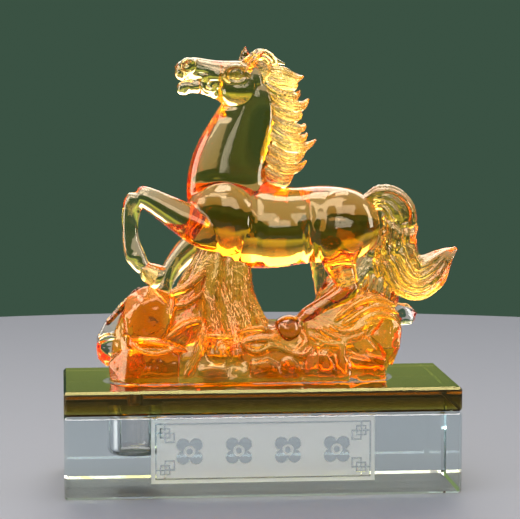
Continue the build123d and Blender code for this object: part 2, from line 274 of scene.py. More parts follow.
def both_sides(dabs):
    """The same dabs on the near side and the far side."""
    return [
        ((centre[0], side * centre[1], centre[2]), reach, height)
        for centre, reach, height in dabs
        for side in (-1, 1)
    ]


def triangles(item):
    """How many triangles a mesh makes."""
    return sum(len(face.vertices) - 2 for face in item.data.polygons)


# %% [markdown]
# ## Growing a limb
#
# Limbs, neck and trunk all start the same way: one oval ring with a cap, extruded ring by ring
# along the limb's path, turned to face along it and scaled to its new width. Two levels of
# subdivision then round it off. A curve with a round bevel would be quicker, but every section
# here is an oval that changes shape along the way.

# %% Extruded limbs
RING_SIDES = 16


def heading(stations, index):
    """The path's direction at a station, as an angle from straight up towards +X."""
    before = stations[max(index - 1, 0)]
    after = stations[min(index + 1, len(stations) - 1)]
    return math.atan2(after[0] - before[0], after[2] - before[2])


def grow_limb(name, stations):
    """Extrude an oval along (x, y, z, half width, half thickness) stations in millimetres."""
    deselect()
    x, y, z, across, along = stations[0]
    angle = heading(stations, 0)
    bpy.ops.mesh.primitive_circle_add(
        vertices=RING_SIDES, radius=1.0, fill_type="NGON",
        location=(x * MM, y * MM, z * MM), rotation=(0.0, angle, 0.0),
    )
    limb = bpy.context.object
    limb.name = name
    limb.scale = (along * MM, across * MM, 1.0)
    settle(limb)
    bpy.ops.object.mode_set(mode="EDIT")
    bpy.ops.mesh.select_all(action="SELECT")
    for index in range(1, len(stations)):
        new_x, new_y, new_z, new_across, new_along = stations[index]
        step = ((new_x - x) * MM, (new_y - y) * MM, (new_z - z) * MM)
        bpy.ops.mesh.extrude_region_move(TRANSFORM_OT_translate={"value": step})
        centre = (new_x * MM, new_y * MM, new_z * MM)
        new_angle = heading(stations, index)
        turn = (new_angle - angle + math.pi) % (2 * math.pi) - math.pi
        bpy.ops.transform.rotate(value=-turn, orient_axis="Y", center_override=centre)
        thickness = new_along / along
        bpy.ops.transform.resize(
            value=(thickness, new_across / across, thickness), center_override=centre,
        )
        x, y, z, across, along, angle = new_x, new_y, new_z, new_across, new_along, new_angle
    bpy.ops.mesh.select_all(action="SELECT")
    bpy.ops.mesh.normals_make_consistent(inside=False)
    bpy.ops.object.mode_set(mode="OBJECT")
    modify(limb, "SUBSURF", levels=2, render_levels=2)
    return limb


def ball(name, centre, radii, tilt=0.0):
    """An egg of clay: a sphere with three radii, tilted about the cross axis in degrees."""
    deselect()
    bpy.ops.mesh.primitive_uv_sphere_add(
        segments=24, ring_count=16, radius=1.0,
        location=[value * MM for value in centre],
        rotation=(0.0, math.radians(tilt), 0.0),
        scale=[value * MM for value in radii],
    )
    egg = bpy.context.object
    egg.name = name
    return egg

# %% [markdown]
# ## The horse's body
#
# Cast figures start as a wax or clay model, so this one is built the same way. Rough limbs and
# eggs of clay for the muscles overlap, a voxel remesh presses them into one skin, and a smooth
# pass rounds the joins like hot glass. Eyes, nostrils, mouth and muscle creases are then pushed
# in and pulled out with small round dabs, the way a sculpting brush works.

# %% Body stations
TRUNK = (
    (-21.2, 0, 83.0, 4.2, 4.6), (-18.2, 0, 82.6, 8.0, 9.0), (-12.0, 0, 81.2, 9.8, 12.2),
    (-4.0, 0, 79.8, 10.6, 13.6), (5.0, 0, 79.0, 10.8, 12.9), (13.0, 0, 79.6, 9.9, 12.0),
    (20.0, 0, 80.4, 10.2, 12.3), (28.0, 0, 79.8, 10.3, 11.9), (34.0, 0, 79.4, 8.4, 9.8),
    (38.2, 0, 79.4, 4.0, 5.0),
)
NECK = (
    (-8.8, 0, 83.0, 9.0, 13.0), (-9.4, 0, 92.0, 8.0, 13.2), (-8.9, 0, 99.0, 6.9, 12.2),
    (-6.0, 0, 106.0, 6.0, 11.0), (-3.2, 0, 112.5, 5.4, 9.8), (-1.6, 0, 119.0, 5.0, 8.2),
    (-2.0, 0, 125.0, 4.2, 5.8),
)
HEAD = (
    (2.2, 0, 124.2, 3.2, 4.0), (-1.0, 0, 124.3, 4.6, 6.0), (-5.5, 0, 123.8, 5.0, 6.9),
    (-9.5, 0, 124.8, 4.5, 6.1), (-13.5, 0, 126.2, 3.6, 4.6), (-17.2, 0, 127.5, 3.1, 3.8),
    (-20.4, 0, 128.2, 3.2, 3.8), (-23.2, 0, 127.6, 3.0, 3.1), (-25.0, 0, 126.7, 1.7, 1.8),
)
JAW = (
    (-7.0, 0, 119.8, 3.4, 4.2), (-12.0, 0, 121.8, 3.0, 3.2), (-17.0, 0, 122.9, 2.4, 2.3),
    (-21.0, 0, 122.6, 2.3, 2.0), (-23.4, 0, 122.5, 1.9, 1.7), (-24.6, 0, 122.8, 0.9, 0.8),
)
FOREARM_NEAR = (
    (-10.0, -5.4, 76.0, 4.6, 5.6), (-18.0, -6.4, 79.6, 4.8, 6.2), (-25.0, -6.8, 83.8, 4.2, 5.0),
    (-31.0, -6.8, 87.4, 3.4, 3.9), (-35.0, -6.8, 89.6, 3.1, 3.5), (-37.8, -6.8, 89.8, 2.7, 3.2),
)
CANNON_NEAR = (
    (-37.0, -6.8, 90.6, 2.7, 2.6), (-38.3, -6.8, 88.0, 2.9, 3.3), (-39.3, -6.8, 84.0, 2.3, 2.8),
    (-39.6, -6.8, 79.0, 2.1, 2.4), (-39.0, -6.8, 74.6, 2.4, 2.8), (-38.0, -6.8, 71.4, 2.8, 3.5),
    (-36.4, -6.8, 68.8, 2.3, 2.5), (-34.8, -6.8, 67.0, 2.5, 2.5),
)
HOOF_NEAR = (
    (-36.0, -6.8, 67.6, 2.4, 2.4), (-33.6, -6.8, 66.2, 3.3, 3.4), (-31.2, -6.8, 64.9, 3.9, 4.1),
    (-29.6, -6.8, 64.0, 3.8, 3.8),
)
FORELEG_FAR = (
    (-13.0, 5.2, 78.5, 4.8, 5.6), (-19.0, 6.0, 73.6, 4.4, 4.8), (-23.5, 6.4, 69.6, 3.4, 3.6),
    (-27.0, 6.4, 65.0, 2.8, 3.0), (-29.0, 6.4, 61.0, 2.8, 2.9), (-29.8, 6.4, 57.0, 3.2, 3.2),
)
THIGH_NEAR = (
    (27.0, -4.6, 88.0, 3.6, 6.0), (26.4, -6.6, 82.0, 4.9, 9.0), (24.6, -7.2, 75.0, 4.8, 8.0),
    (24.2, -7.4, 69.0, 4.2, 5.6), (26.2, -7.6, 64.4, 3.4, 3.9), (28.4, -7.6, 61.2, 2.8, 3.0),
)
SHANK_NEAR = (
    (30.2, -7.6, 63.0, 2.4, 2.2), (27.4, -7.6, 60.2, 2.9, 3.4), (23.0, -7.6, 57.6, 2.5, 2.8),
    (19.0, -7.6, 55.4, 2.4, 2.5), (15.6, -7.6, 53.2, 2.7, 3.1), (13.0, -7.6, 50.8, 2.5, 2.6),
    (11.4, -7.6, 49.2, 2.6, 2.6),
)
HOOF_HIND = (
    (12.4, -7.6, 51.0, 2.6, 2.7), (10.2, -8.2, 49.6, 4.0, 4.1), (8.0, -8.6, 48.4, 4.7, 4.7),
    (5.6, -8.6, 47.0, 3.9, 3.9),
)
HINDLEG_FAR = (
    (25.0, 5.4, 84.0, 4.2, 7.0), (22.0, 7.0, 75.0, 4.6, 6.4), (21.0, 7.2, 67.0, 3.6, 4.0),
    (21.6, 7.2, 60.0, 2.8, 3.0), (22.0, 7.2, 54.0, 2.6, 2.8), (20.8, 7.2, 48.5, 3.0, 3.2),
)

# %% Block out the body in clay
body_parts = [
    grow_limb("trunk_clay", TRUNK),
    grow_limb("neck_clay", NECK),
    grow_limb("head_clay", HEAD),
    grow_limb("jaw_clay", JAW),
    grow_limb("forearm_clay", FOREARM_NEAR),
    grow_limb("cannon_clay", CANNON_NEAR),
    grow_limb("hoof_clay", HOOF_NEAR),
    grow_limb("far_foreleg_clay", FORELEG_FAR),
    grow_limb("thigh_clay", THIGH_NEAR),
    grow_limb("shank_clay", SHANK_NEAR),
    grow_limb("hind_hoof_clay", HOOF_HIND),
    grow_limb("far_hindleg_clay", HINDLEG_FAR),
]
for side in (-1, 1):
    body_parts += [
        ball("shoulder_clay", (-9.0, side * 6.4, 82.6), (8.6, 4.8, 11.6), tilt=-24),
        ball("breast_clay", (-16.2, side * 4.2, 84.6), (5.6, 5.2, 6.6)),
        ball("haunch_clay", (26.6, side * 5.8, 80.6), (9.6, 5.0, 10.6), tilt=-14),
        ball("barrel_clay", (6.0, side * 3.4, 78.0), (12.5, 7.6, 10.2)),
        ball("jowl_clay", (-5.6, side * 2.7, 121.6), (5.4, 2.9, 5.8), tilt=-10),
        ball("brow_clay", (-6.8, side * 3.9, 128.2), (2.9, 1.5, 1.5), tilt=8),
        ball("eye_clay", (-6.8, side * 4.2, 126.4), (1.2, 1.3, 1.0)),
        ball("nostril_clay", (-21.2, side * 2.1, 129.2), (2.6, 1.6, 2.3), tilt=-20),
        ball("lip_clay", (-23.4, side * 1.2, 126.4), (1.9, 1.7, 1.9)),
    ]
for name, centre, radii, thickness in (
    # Rolled rims, as coils of clay: around the eye, the nostril and the corner of the mouth.
    ("eye_rim", (-6.8, 4.5, 126.4), (3.2, 2.4), 0.55),
    ("eye_lid", (-6.8, 4.85, 126.4), (2.0, 1.4), 0.4),
    ("nostril_rim", (-21.4, 2.7, 129.3), (1.7, 1.4), 0.55),
    ("mouth_rim", (-14.8, 2.7, 123.2), (1.8, 1.6), 0.6),
):
    for side in (-1, 1):
        deselect()
        bpy.ops.mesh.primitive_torus_add(
            location=(centre[0] * MM, side * centre[1] * MM, centre[2] * MM), rotation=(
                math.pi / 2, 0.0, 0.0,
            ),
            major_radius=1.0 * MM, minor_radius=thickness / radii[0] * MM,
            major_segments=28, minor_segments=10,
        )
        rim = bpy.context.object
        rim.name = name
        rim.scale = (radii[0], radii[1], radii[0] * 0.9)
        body_parts.append(rim)
body_parts.append(ball("wither_clay", (1.0, 0, 90.0), (8.0, 5.6, 4.2), tilt=12))
body_parts.append(ball("chin_clay", (-22.6, 0, 121.6), (2.2, 2.1, 1.7)))
horse_body = join("horse_body", body_parts)
BODY_VOXEL = 0.36
fuse(horse_body, BODY_VOXEL, 6)
print("body", len(horse_body.data.vertices), "points after fusing")

# %% [markdown]
# The dabs come in order of size: first the big creases between the muscles, then the cheek and
# the hollows over the joints, and last the eyelids, the nostrils and the line of the mouth.

# %% Creases, joints and face
def ring_of_dabs(centre, radii, size, amount, count=20):
    """Small dabs set around an upright ellipse, for rims and the grooves beside them."""
    x, y, z = centre
    return [
        (
            (x + radii[0] * math.cos(turn), y, z + radii[1] * math.sin(turn)), (size, 2.6, size),
            amount,
        )
        for turn in (2 * math.pi * index / count for index in range(count))
    ]


EYE, NOSTRIL = (-6.8, 4.6, 126.4), (-21.4, 3.0, 129.3)
body_dabs = both_sides([
    # The crease behind the shoulder, the flank's fold and the hollow of the flank.
    ((-0.6, 10.4, 88.0), (1.8, 4, 5.0), -0.7), ((-2.4, 10.8, 81.0), (1.8, 4, 5.0), -0.7),
    ((-5.2, 10.6, 74.6), (2.0, 4, 4.4), -0.8), ((15.6, 10.0, 85.0), (1.6, 4, 5.0), -0.8),
    ((15.2, 10.0, 78.0), (1.6, 4, 5.4), -0.9), ((16.6, 10.0, 71.4), (2.2, 4, 4.4), -0.9),
    # The groove along the neck's throat line, and where the neck meets the shoulder.
    ((-12.6, 8.0, 93.0), (6.0, 5, 3.4), -0.6), ((-4.6, 8.6, 92.6), (6.0, 5, 3.4), -0.5),
    ((-10.4, 5.2, 113.6), (3.0, 4, 2.2), -0.6),
    # Hollow under the cheek bone, the hollow above the eye, and the face's long groove.
    ((-12.6, 3.8, 124.4), (3.6, 2.4, 1.5), -0.6), ((-16.6, 3.0, 126.8), (3.4, 2.4, 1.0), -0.5),
    ((-3.2, 4.8, 128.6), (1.8, 2.0, 1.5), -0.5),
    # Nostril with its rim, and the ring of grooves and lids around the eyeball.
    ((-21.9, 3.4, 129.5), (1.3, 1.6, 1.0), -1.3), ((-20.2, 3.4, 130.6), (1.2, 1.4, 0.9), 0.4),
    ((-6.4, 5.2, 130.0), (3.6, 1.6, 0.9), -0.4), ((-6.2, 5.2, 123.4), (3.4, 1.6, 0.8), -0.4),
    # The muscle ring at the corner of the mouth, and the jaw's lower edge.
    ((-12.2, 3.4, 121.6), (1.2, 1.6, 2.4), -0.5),
    ((-8.6, 3.4, 116.6), (4.0, 2.4, 1.0), -0.5),
    # Behind the mouth's corner, and the folds of both lips.
    ((-18.4, 2.9, 124.9), (1.8, 1.8, 0.8), -0.7), ((-22.6, 2.4, 125.4), (0.9, 2.0, 1.4), -0.45),
    ((-20.2, 2.2, 122.6), (1.0, 2.0, 0.9), 0.35), ((-22.4, 2.2, 121.4), (0.8, 2.0, 0.8), -0.35),
] + ring_of_dabs(EYE, (3.3, 2.6), 0.9, 0.3) + ring_of_dabs(EYE, (2.3, 1.75), 0.7, -0.3)
  + ring_of_dabs(EYE, (1.3, 0.95), 0.6, 0.22) + ring_of_dabs(NOSTRIL, (1.9, 1.6), 0.7, 0.25))
body_dabs += [
    ((-38.6, -9.4, 89.6), (2.4, 2.0, 2.2), 0.35), ((-36.2, -9.0, 85.8), (1.6, 3.0, 1.6), -0.5),
    ((-38.4, -9.4, 71.2), (2.0, 2.4, 1.6), 0.3), ((-36.2, -8.8, 68.3), (2.2, 3.0, 0.8), -0.45),
    ((28.2, -10.4, 60.6), (2.4, 2.4, 2.4), 0.35), ((15.4, -10.2, 53.0), (2.0, 2.0, 1.8), 0.3),
]
sculpt(horse_body, body_dabs)
modify(horse_body, "SMOOTH", factor=0.4, iterations=2)
bpy.ops.object.shade_smooth()
print("body", triangles(horse_body), "triangles")

# %% [markdown]
# ## Locks of hair
#
# Mane, forelock, tail and the strands under the chest are all carved the same way on the
# casting: broad locks with fine grooves that run along them to a curled tip. One fluted oval is
# drawn once as a bevel profile, and each lock is a Bezier curve that carries it, with a radius
# at every point so that it swells and then tapers. Fusing the locks turns them into one skin.

# %% Fluted locks
FLUTES = 11
PROFILE_POINTS = 104


def fluted_profile(name, flutes, depth, flatness):
    """A closed curve: an oval of unit half width whose edge is fluted."""
    curve = bpy.data.curves.new(name, "CURVE")
    curve.dimensions = "2D"
    line = curve.splines.new("POLY")
    line.points.add(PROFILE_POINTS - 1)
    for index, point in enumerate(line.points):
        angle = 2 * math.pi * index / PROFILE_POINTS
        swell = 1.0 - depth * (0.5 - 0.5 * math.cos(flutes * angle))
        point.co = (
            MM * swell * math.cos(angle), MM * flatness * swell * math.sin(angle), 0.0, 1.0,
        )
    line.use_cyclic_u = True
    profile = bpy.data.objects.new(name, curve)
    scene.collection.objects.link(profile)
    return profile


def lock(name, profile, path):
    """One lock: the profile carried along (x, y, z, half width) points in millimetres."""
    curve = bpy.data.curves.new(name, "CURVE")
    curve.dimensions = "3D"
    curve.resolution_u = 10
    curve.twist_mode = "Z_UP"
    line = curve.splines.new("BEZIER")
    line.bezier_points.add(len(path) - 1)
    for point, (x, y, z, width) in zip(line.bezier_points, path):
        point.co = (x * MM, y * MM, z * MM)
        point.radius = width
        point.handle_left_type = point.handle_right_type = "AUTO"
    curve.bevel_mode = "OBJECT"
    curve.bevel_object = profile
    curve.use_fill_caps = True
    strand = bpy.data.objects.new(name, curve)
    scene.collection.objects.link(strand)
    pick(strand)
    bpy.ops.object.convert(target="MESH")
    return bpy.context.object


def wave(path, sway, phase):
    """The same path with a gentle sideways sway across the horse."""
    return [
        (x, y + sway * math.sin(phase + 1.9 * index), z, width)
        for index, (x, y, z, width) in enumerate(path)
    ]


lock_profile = fluted_profile("lock_profile", FLUTES, 0.3, 0.66)
print("lock profile with", FLUTES, "flutes")

# %% [markdown]
# ### The mane
#
# The mane blows back from the crest in swags: each lock leaves the neck, dips, and lifts again
# to a pointed tip. A near and a far layer give it its thickness.

# %% Mane
MANE_LOCKS = (
    # Root on the crest, the dip, and the tip, as (x, z), then the lock's half width.
    ((1.6, 129.0), (7.4, 126.9), (14.6, 125.6), 3.0),
    ((3.2, 125.8), (8.6, 123.4), (12.6, 124.2), 2.6),
    ((4.6, 122.6), (9.2, 120.2), (13.4, 121.4), 2.4),
    ((5.0, 120.4), (10.4, 117.0), (16.2, 118.8), 2.7),
    ((5.2, 117.2), (9.8, 113.8), (13.8, 115.0), 2.5),
    ((4.8, 113.6), (10.2, 110.4), (15.2, 111.2), 2.6),
    ((4.4, 110.8), (10.2, 107.2), (15.8, 108.2), 2.6),
    ((4.0, 108.6), (10.2, 104.4), (18.4, 106.2), 2.7),
    ((3.2, 105.2), (9.2, 100.8), (15.2, 103.0), 2.5),
    ((2.8, 101.8), (8.2, 97.6), (15.6, 99.9), 2.5),
    ((2.4, 98.2), (6.8, 94.9), (11.6, 96.6), 2.1),
    ((2.2, 95.2), (5.8, 93.0), (11.0, 94.8), 1.6),
)
MANE_LAYERS = ((-1.7, 0.0, 0.5), (1.7, -0.5, 2.0))

mane_locks = []
for y, shift_z, phase in MANE_LAYERS:
    for index, (root, dip, tip, width) in enumerate(MANE_LOCKS):
        path = [
            (root[0] - 3.0, y * 0.5, root[1] + 1.6 + shift_z, width * 0.7),
            (
                (root[0] * 1.1 + dip[0]) / 2.1, y,
                (root[1] + dip[1]) / 2 - 0.6 + shift_z, width * 0.95,
            ),
            (dip[0], y * 1.2, dip[1] + shift_z, width),
            ((dip[0] + tip[0]) / 2 + 0.4, y, (dip[1] + tip[1]) / 2 - 1.0 + shift_z, width * 0.8),
            (tip[0] - 0.5, y * 0.7, tip[1] + shift_z * 0.3, width * 0.2),
        ]
        mane_locks.append(
            lock(f"mane_lock_{index}", lock_profile, wave(path, 0.25, phase + index)),
        )
mane = join("mane_hair", mane_locks)
fuse(mane, 0.26, 1, 0.2)
print("mane", triangles(mane), "triangles")

# %% [markdown]
# ### Ears and forelock
#
# The far ear is a plain spike. The near ear and the forelock curl over together, grooved like
# the mane. An ear is a leaf: a lock with only a few flutes, and a hollow pressed into its front.

# %% Ears and forelock
leaf_profile = fluted_profile("leaf_profile", 5, 0.12, 0.6)
ear_far = lock("ear_far_skin", leaf_profile, [
    (-3.8, 2.9, 127.8, 2.1), (-3.6, 3.1, 130.4, 2.2), (-3.5, 3.3, 132.6, 1.5),
    (-3.4, 3.4, 134.9, 0.25),
])
ear_near = lock("ear_near_skin", leaf_profile, [
    (-3.0, -3.4, 127.4, 1.7), (-1.6, -4.0, 130.0, 2.0), (0.0, -4.3, 132.2, 1.5),
    (1.8, -4.2, 133.6, 0.3),
])
forelock_paths = (
    [(-5.4, 0.0, 129.0, 1.1), (-2.6, -1.0, 131.2, 1.6), (0.8, -1.4, 133.0, 1.9), (
        4.0, -1.4, 131.6, 1.7,
    ),
     (5.4, -1.2, 128.6, 1.3), (4.2, -1.2, 126.0, 0.5)],
    [(-4.0, 0.8, 129.4, 1.1), (-1.0, 0.8, 131.6, 1.6), (2.6, 0.8, 132.4, 1.8), (
        6.0, 0.8, 130.4, 1.4,
    ),
     (8.6, 0.8, 129.4, 0.5)],
    [(-2.4, -2.6, 129.2, 0.9), (0.4, -3.0, 131.4, 1.3), (2.8, -3.0, 130.6, 1.4), (
        3.6, -3.0, 127.8, 1.2,
    ),
     (2.0, -3.2, 125.0, 0.4)],
)
forelock = join("forelock_hair", [
    lock(f"forelock_lock_{index}", lock_profile, path) for index, path in enumerate(forelock_paths)
])
fuse(forelock, 0.26, 1, 0.35)
for ear in (ear_far, ear_near):
    settle(ear)
    fuse(ear, 0.22, 1, 0.4)
sculpt(ear_near, [((-0.6, -5.4, 131.4), (1.1, 1.6, 1.8), -0.8)])
sculpt(ear_far, [((-3.4, 1.8, 131.6), (0.9, 1.2, 1.8), -0.6)])
print(
    "ears and forelock", triangles(ear_far) + triangles(ear_near) + triangles(forelock),
    "triangles",
)

# %% [markdown]
# ### The tail
#
# The tail rises from the dock, arches over, drops, and then sweeps out to the side and up to a
# point. All its locks follow one middle line, each set a little to one side of it, so they run
# together like water and part near the end.

# %% Tail
TAIL_LINE = (
    (33.6, 86.2), (38.6, 88.2), (43.0, 85.6), (44.2, 79.6), (43.4, 73.4), (44.2, 67.2),
    (48.6, 62.6), (54.2, 64.8), (58.4, 69.4), (62.2, 72.4),
)
TAIL_WIDTH = (2.4, 3.4, 4.2, 4.6, 5.0, 6.2, 6.6, 5.2, 2.6, 0.4)
TAIL_DEPTH = (2.4, 3.6, 4.4, 4.6, 4.8, 4.6, 4.0, 3.2, 1.8, 0.3)
TAIL_LANES = (-0.72, -0.24, 0.24, 0.72)
TAIL_LOCK_WIDTH = 2.15
MIDDLE_LAYER_SHIFT = 0.22  # the middle layer fills the grooves between the outer two


def across_line(line, index):
    """A unit step square to a line of (x, z) points, to its left as it runs."""
    before, after = line[max(index - 1, 0)], line[min(index + 1, len(line) - 1)]
    along = Vector((after[0] - before[0], after[1] - before[1])).normalized()
    return -along.y, along.x


tail_locks = []
for layer, y_share in enumerate((-0.8, 0.0, 0.8)):
    for lane_number, lane in enumerate(TAIL_LANES):
        path = []
        for index, (x, z) in enumerate(TAIL_LINE):
            step_x, step_z = across_line(TAIL_LINE, index)
            offset = lane * TAIL_WIDTH[index]
            offset += (MIDDLE_LAYER_SHIFT if layer == 1 else 0.0) * TAIL_WIDTH[index]
            width = TAIL_LOCK_WIDTH * min(1.0, TAIL_WIDTH[index] / 5.0) + 0.12
            path.append(
                (x + step_x * offset, y_share * TAIL_DEPTH[index], z + step_z * offset, width),
            )
        sway = wave(path, 0.3, lane_number + 2.0 * layer)
        tail_locks.append(lock(f"tail_lock_{layer}_{lane_number}", lock_profile, sway))
# Wisps fill the gap between the buttock and the tail and run down to the rocks.
for index in range(8):
    share = index / 5 - 0.55
    side = -1 if index % 2 else 1
    tail_locks.append(lock(f"wisp_{index}", lock_profile, [
        (35.6 + 1.4 * share, side * 1.2, 84.0 - 2.0 * share, 0.5),
        (38.6 + 1.6 * share, side * (1.6 + share), 78.0 - 4.0 * share, 1.2),
        (36.4 + 5.0 * share, side * (2.2 + share), 70.0 - 2.0 * share, 1.6),
        (37.2 + 6.0 * share, side * (2.6 + share), 62.6 - 1.0 * share, 1.8),
        (33.6 + 9.0 * share, side * (3.4 + share), 56.4 - 0.6 * share, 1.5),
        (29.6 + 12.0 * share, side * (3.8 + share), 53.0 - 0.4 * share, 0.9),
    ]))
# More wisps sweep forward from the tail, under the haunch, to the crest of the rocks.
for index in range(7):
    share = index / 6
    side = -1 if index % 2 else 1
    tail_locks.append(lock(f"sweep_{index}", lock_profile, [
        (37.0 + 1.0 * share, side * 1.0, 77.0 - 6.0 * share, 0.8),
        (33.6 + 1.0 * share, side * (1.4 + share), 71.4 - 5.0 * share, 1.5),
        (28.4 + 2.4 * share, side * (2.0 + share), 65.0 - 3.4 * share, 1.9),
        (22.8 + 4.0 * share, side * (2.4 + share), 60.6 - 2.4 * share, 1.8),
        (18.4 + 4.6 * share, side * (2.8 + share), 55.6 - 1.0 * share, 1.2),
    ]))
tail_locks.append(grow_limb("sweep_core", [
    (34.6, 0.0, 73.0, 2.0, 2.6), (30.6, 0.0, 67.0, 2.8, 4.2), (26.6, 0.0, 62.0, 3.4, 5.4),
    (23.6, 0.0, 57.0, 4.2, 5.6),
    (22.6, 0.0, 52.0, 4.6, 6.0),
]))
tail_locks.append(grow_limb("dock_core", [
    (35.4, 0.0, 86.4, 2.2, 2.4), (38.2, 0.0, 84.0, 2.6, 3.2), (38.8, 0.0, 79.0, 2.8, 3.6),
    (38.4, 0.0, 74.0, 2.6, 3.0),
]))
tail_locks.append(grow_limb("wisp_core", [
    (37.0, 0.0, 80.0, 1.2, 0.9), (37.6, 0.0, 74.0, 2.4, 2.6), (37.8, 0.0, 67.0, 3.2, 4.4),
    (38.4, 0.0, 60.0, 4.2, 5.8), (37.6, 0.0, 53.0, 5.0, 7.4),
]))
tail_locks.append(grow_limb("tail_core", [
    (x, 0.0, z, max(depth * 0.9, 0.3), max(width * 0.82, 0.3))
    for (x, z), width, depth in zip(TAIL_LINE, TAIL_WIDTH, TAIL_DEPTH)
]))
tail = join("tail_hair", tail_locks)
fuse(tail, 0.34, 1, 0.35)
print("tail", triangles(tail), "triangles")

# %% [markdown]
# ### The strands under the chest
#
# The horse is carried by a column of falling strands, like spray or roots, from its breast down
# to the rocks. They stand side by side around the column and spread as they fall.

# %% Strands under the chest
STRAND_COUNT = 15
STRAND_WANDER = (0.0, 0.0, 0.6, 1.0, -0.5, -1.0, 0.0)  # how far each step strays sideways
# Down the column: centre x, height, how far strands stand to the left, right and side, half width.
STRAND_FALL = (
    (-12.6, 78.0, 3.2, 7.0, 2.6, 1.5), (-12.4, 73.0, 4.8, 9.2, 4.8, 1.9),
    (-13.0, 67.0, 7.0, 10.2, 6.4, 2.2),
    (-13.4, 60.0, 10.0, 11.0, 7.6, 2.5), (-13.4, 53.0, 12.4, 13.0, 8.6, 2.9),
    (-12.4, 46.0, 14.6, 15.4, 10.2, 3.3), (-11.6, 41.0, 17.5, 17.5, 11.4, 3.6),
)
strand_parts = []
for index in range(STRAND_COUNT):
    turn = 2 * math.pi * index / STRAND_COUNT
    side_x, side_y = math.cos(turn), math.sin(turn)
    drift = random.uniform(-1.0, 1.0)
    path = []
    for step, (x, z, left, right, side, width) in enumerate(STRAND_FALL):
        wander = drift * STRAND_WANDER[step]
        path.append(
            (x + (right if side_x > 0 else left) * side_x + wander, side * side_y, z, width),
        )
    strand_parts.append(lock(f"strand_{index}", lock_profile, path))
strand_parts.append(grow_limb("strand_core", [
    (-11.2, 0, 78.0, 3.4, 6.0), (-11.4, 0, 70.0, 5.6, 8.2), (-12.8, 0, 62.0, 7.0, 10.4),
    (-12.8, 0, 53.0, 8.4, 13.2), (-12.0, 0, 42.0, 10.4, 16.5),
]))
strands = join("chest_strands", strand_parts)
fuse(strands, 0.36, 1, 0.35)
print("strands", triangles(strands), "triangles")

# %% The profiles are no longer needed
for profile in (lock_profile, leaf_profile):
    bpy.data.objects.remove(profile)
print("profiles removed")

# %% [markdown]
# ## Rocks
#
# The rocks are broken faces with rounded edges, wavy ledges between them, and a few smooth
# boulders. Every boulder starts as a handful of corner points with a convex hull drawn around
# them, which gives flat broken faces exactly where the corners say. Ledges are tapered limbs laid
# along the breaks. The boulders and ledges of one rock are pressed into one skin, and
# neighbouring rocks overlap, so that they meet without gaps.

# %% Boulders from corner points
def boulder(name, corners):
    """A convex hull around corner points in millimetres: flat broken faces between them."""
    mesh = bpy.data.meshes.new(name)
    mesh.from_pydata([[value * MM for value in corner] for corner in corners], [], [])
    stone = bpy.data.objects.new(name, mesh)
    scene.collection.objects.link(stone)
    pick(stone)
    bpy.ops.object.mode_set(mode="EDIT")
    bpy.ops.mesh.select_all(action="SELECT")
    bpy.ops.mesh.convex_hull()
    bpy.ops.mesh.normals_make_consistent(inside=False)
    bpy.ops.object.mode_set(mode="OBJECT")
    return stone


def ledge(name, path):
    """A rounded ridge along (x, y, z, half width) points, pointed at both ends."""
    return grow_limb(name, [(x, y, z, width, width) for x, y, z, width in path])


def roughen(item, size_mm, height_mm):
    """Break up a smooth skin with a procedural displacement."""
    texture = bpy.data.textures.new(f"{item.name}_clouds", "CLOUDS")
    texture.noise_scale = size_mm * MM
    modify(
        item, "DISPLACE", texture=texture, texture_coords="LOCAL", strength=height_mm * MM,
        mid_level=0.5,
    )


FOOT = 34.85
SUNK = FOOT - 2  # corners that lie below the foot's top, hidden in it
# Left: a smooth dome boulder over a low overhanging ledge, with dark broken faces below it.
left_parts = [
    boulder("dome", [
        (-41.8, -7.0, 53.5), (-40.6, -5.5, 58.8), (-35.3, -6.0, 61.9), (-33.0, -7.5, 62.3),
        (-28.2, -8.0, 60.2),
        (-28.4, -12.2, 57.0), (-29.0, -13.2, 50.5), (-31.0, -13.0, 46.4), (-38.0, -12.6, 46.0),
        (-40.8, -11.4, 48.0), (-41.6, -9.5, 53.0), (-36.5, -12.4, 57.5), (-31.0, -12.0, 59.5),
        (-40.0, 4.0, 47.0), (-40.0, 3.0, 57.0), (-33.0, 4.5, 61.0), (-27.0, 5.0, 59.0),
        (-27.0, 5.0, 46.0),
    ]),
    boulder("under_dome", [
        (-45.9, -6.5, SUNK), (-46.3, -6.0, 38.5), (-41.8, -8.5, 43.0), (-41.4, -11.8, SUNK),
        (-40.0, -10.6, 43.5), (-33.4, -11.6, 40.8), (-33.0, -13.5, SUNK), (-25.0, -13.3, SUNK),
        (-25.0, -11.6, 41.5), (-29.0, -11.8, 44.0), (-44.0, 4.6, SUNK), (-43.0, 4.0, 44.0),
        (-25.0, 6.0, SUNK), (-25.0, 6.0, 48.0), (-40.0, 0.0, 48.0),
    ]),
    boulder("left_shoulder", [
        (-45.0, -5.0, 36.0), (-45.8, -1.0, 44.0), (-43.0, 3.0, 52.0), (-42.0, -6.0, 53.0),
        (-40.0, -9.5, 50.0),
        (-41.0, -10.0, 42.0), (-39.0, 3.6, 40.0), (-40.0, 2.0, 56.5), (-44.4, -4.0, 47.5),
    ]),
    ledge("lip", [
        (-40.2, -11.0, 46.2, 1.0), (-38.6, -13.0, 44.2, 0.9), (-33.4, -14.2, 42.0, 0.8),
        (-29.2, -13.8, 42.8, 0.8),
        (-25.4, -12.8, 44.0, 0.9), (-22.0, -11.6, 42.4, 0.6),
    ]),
    ledge("lip_top", [
        (-40.4, -11.2, 46.6, 0.9), (-36.0, -12.8, 46.0, 0.9), (-31.0, -13.4, 45.6, 0.8),
        (-26.0, -12.8, 45.0, 0.7),
    ]),
    ledge("dome_seam", [
        (-31.2, -12.9, 46.2, 0.9), (-28.2, -12.2, 52.0, 1.0), (-26.4, -9.6, 58.6, 1.0),
        (-27.2, -6.4, 61.4, 0.8),
    ]),
]
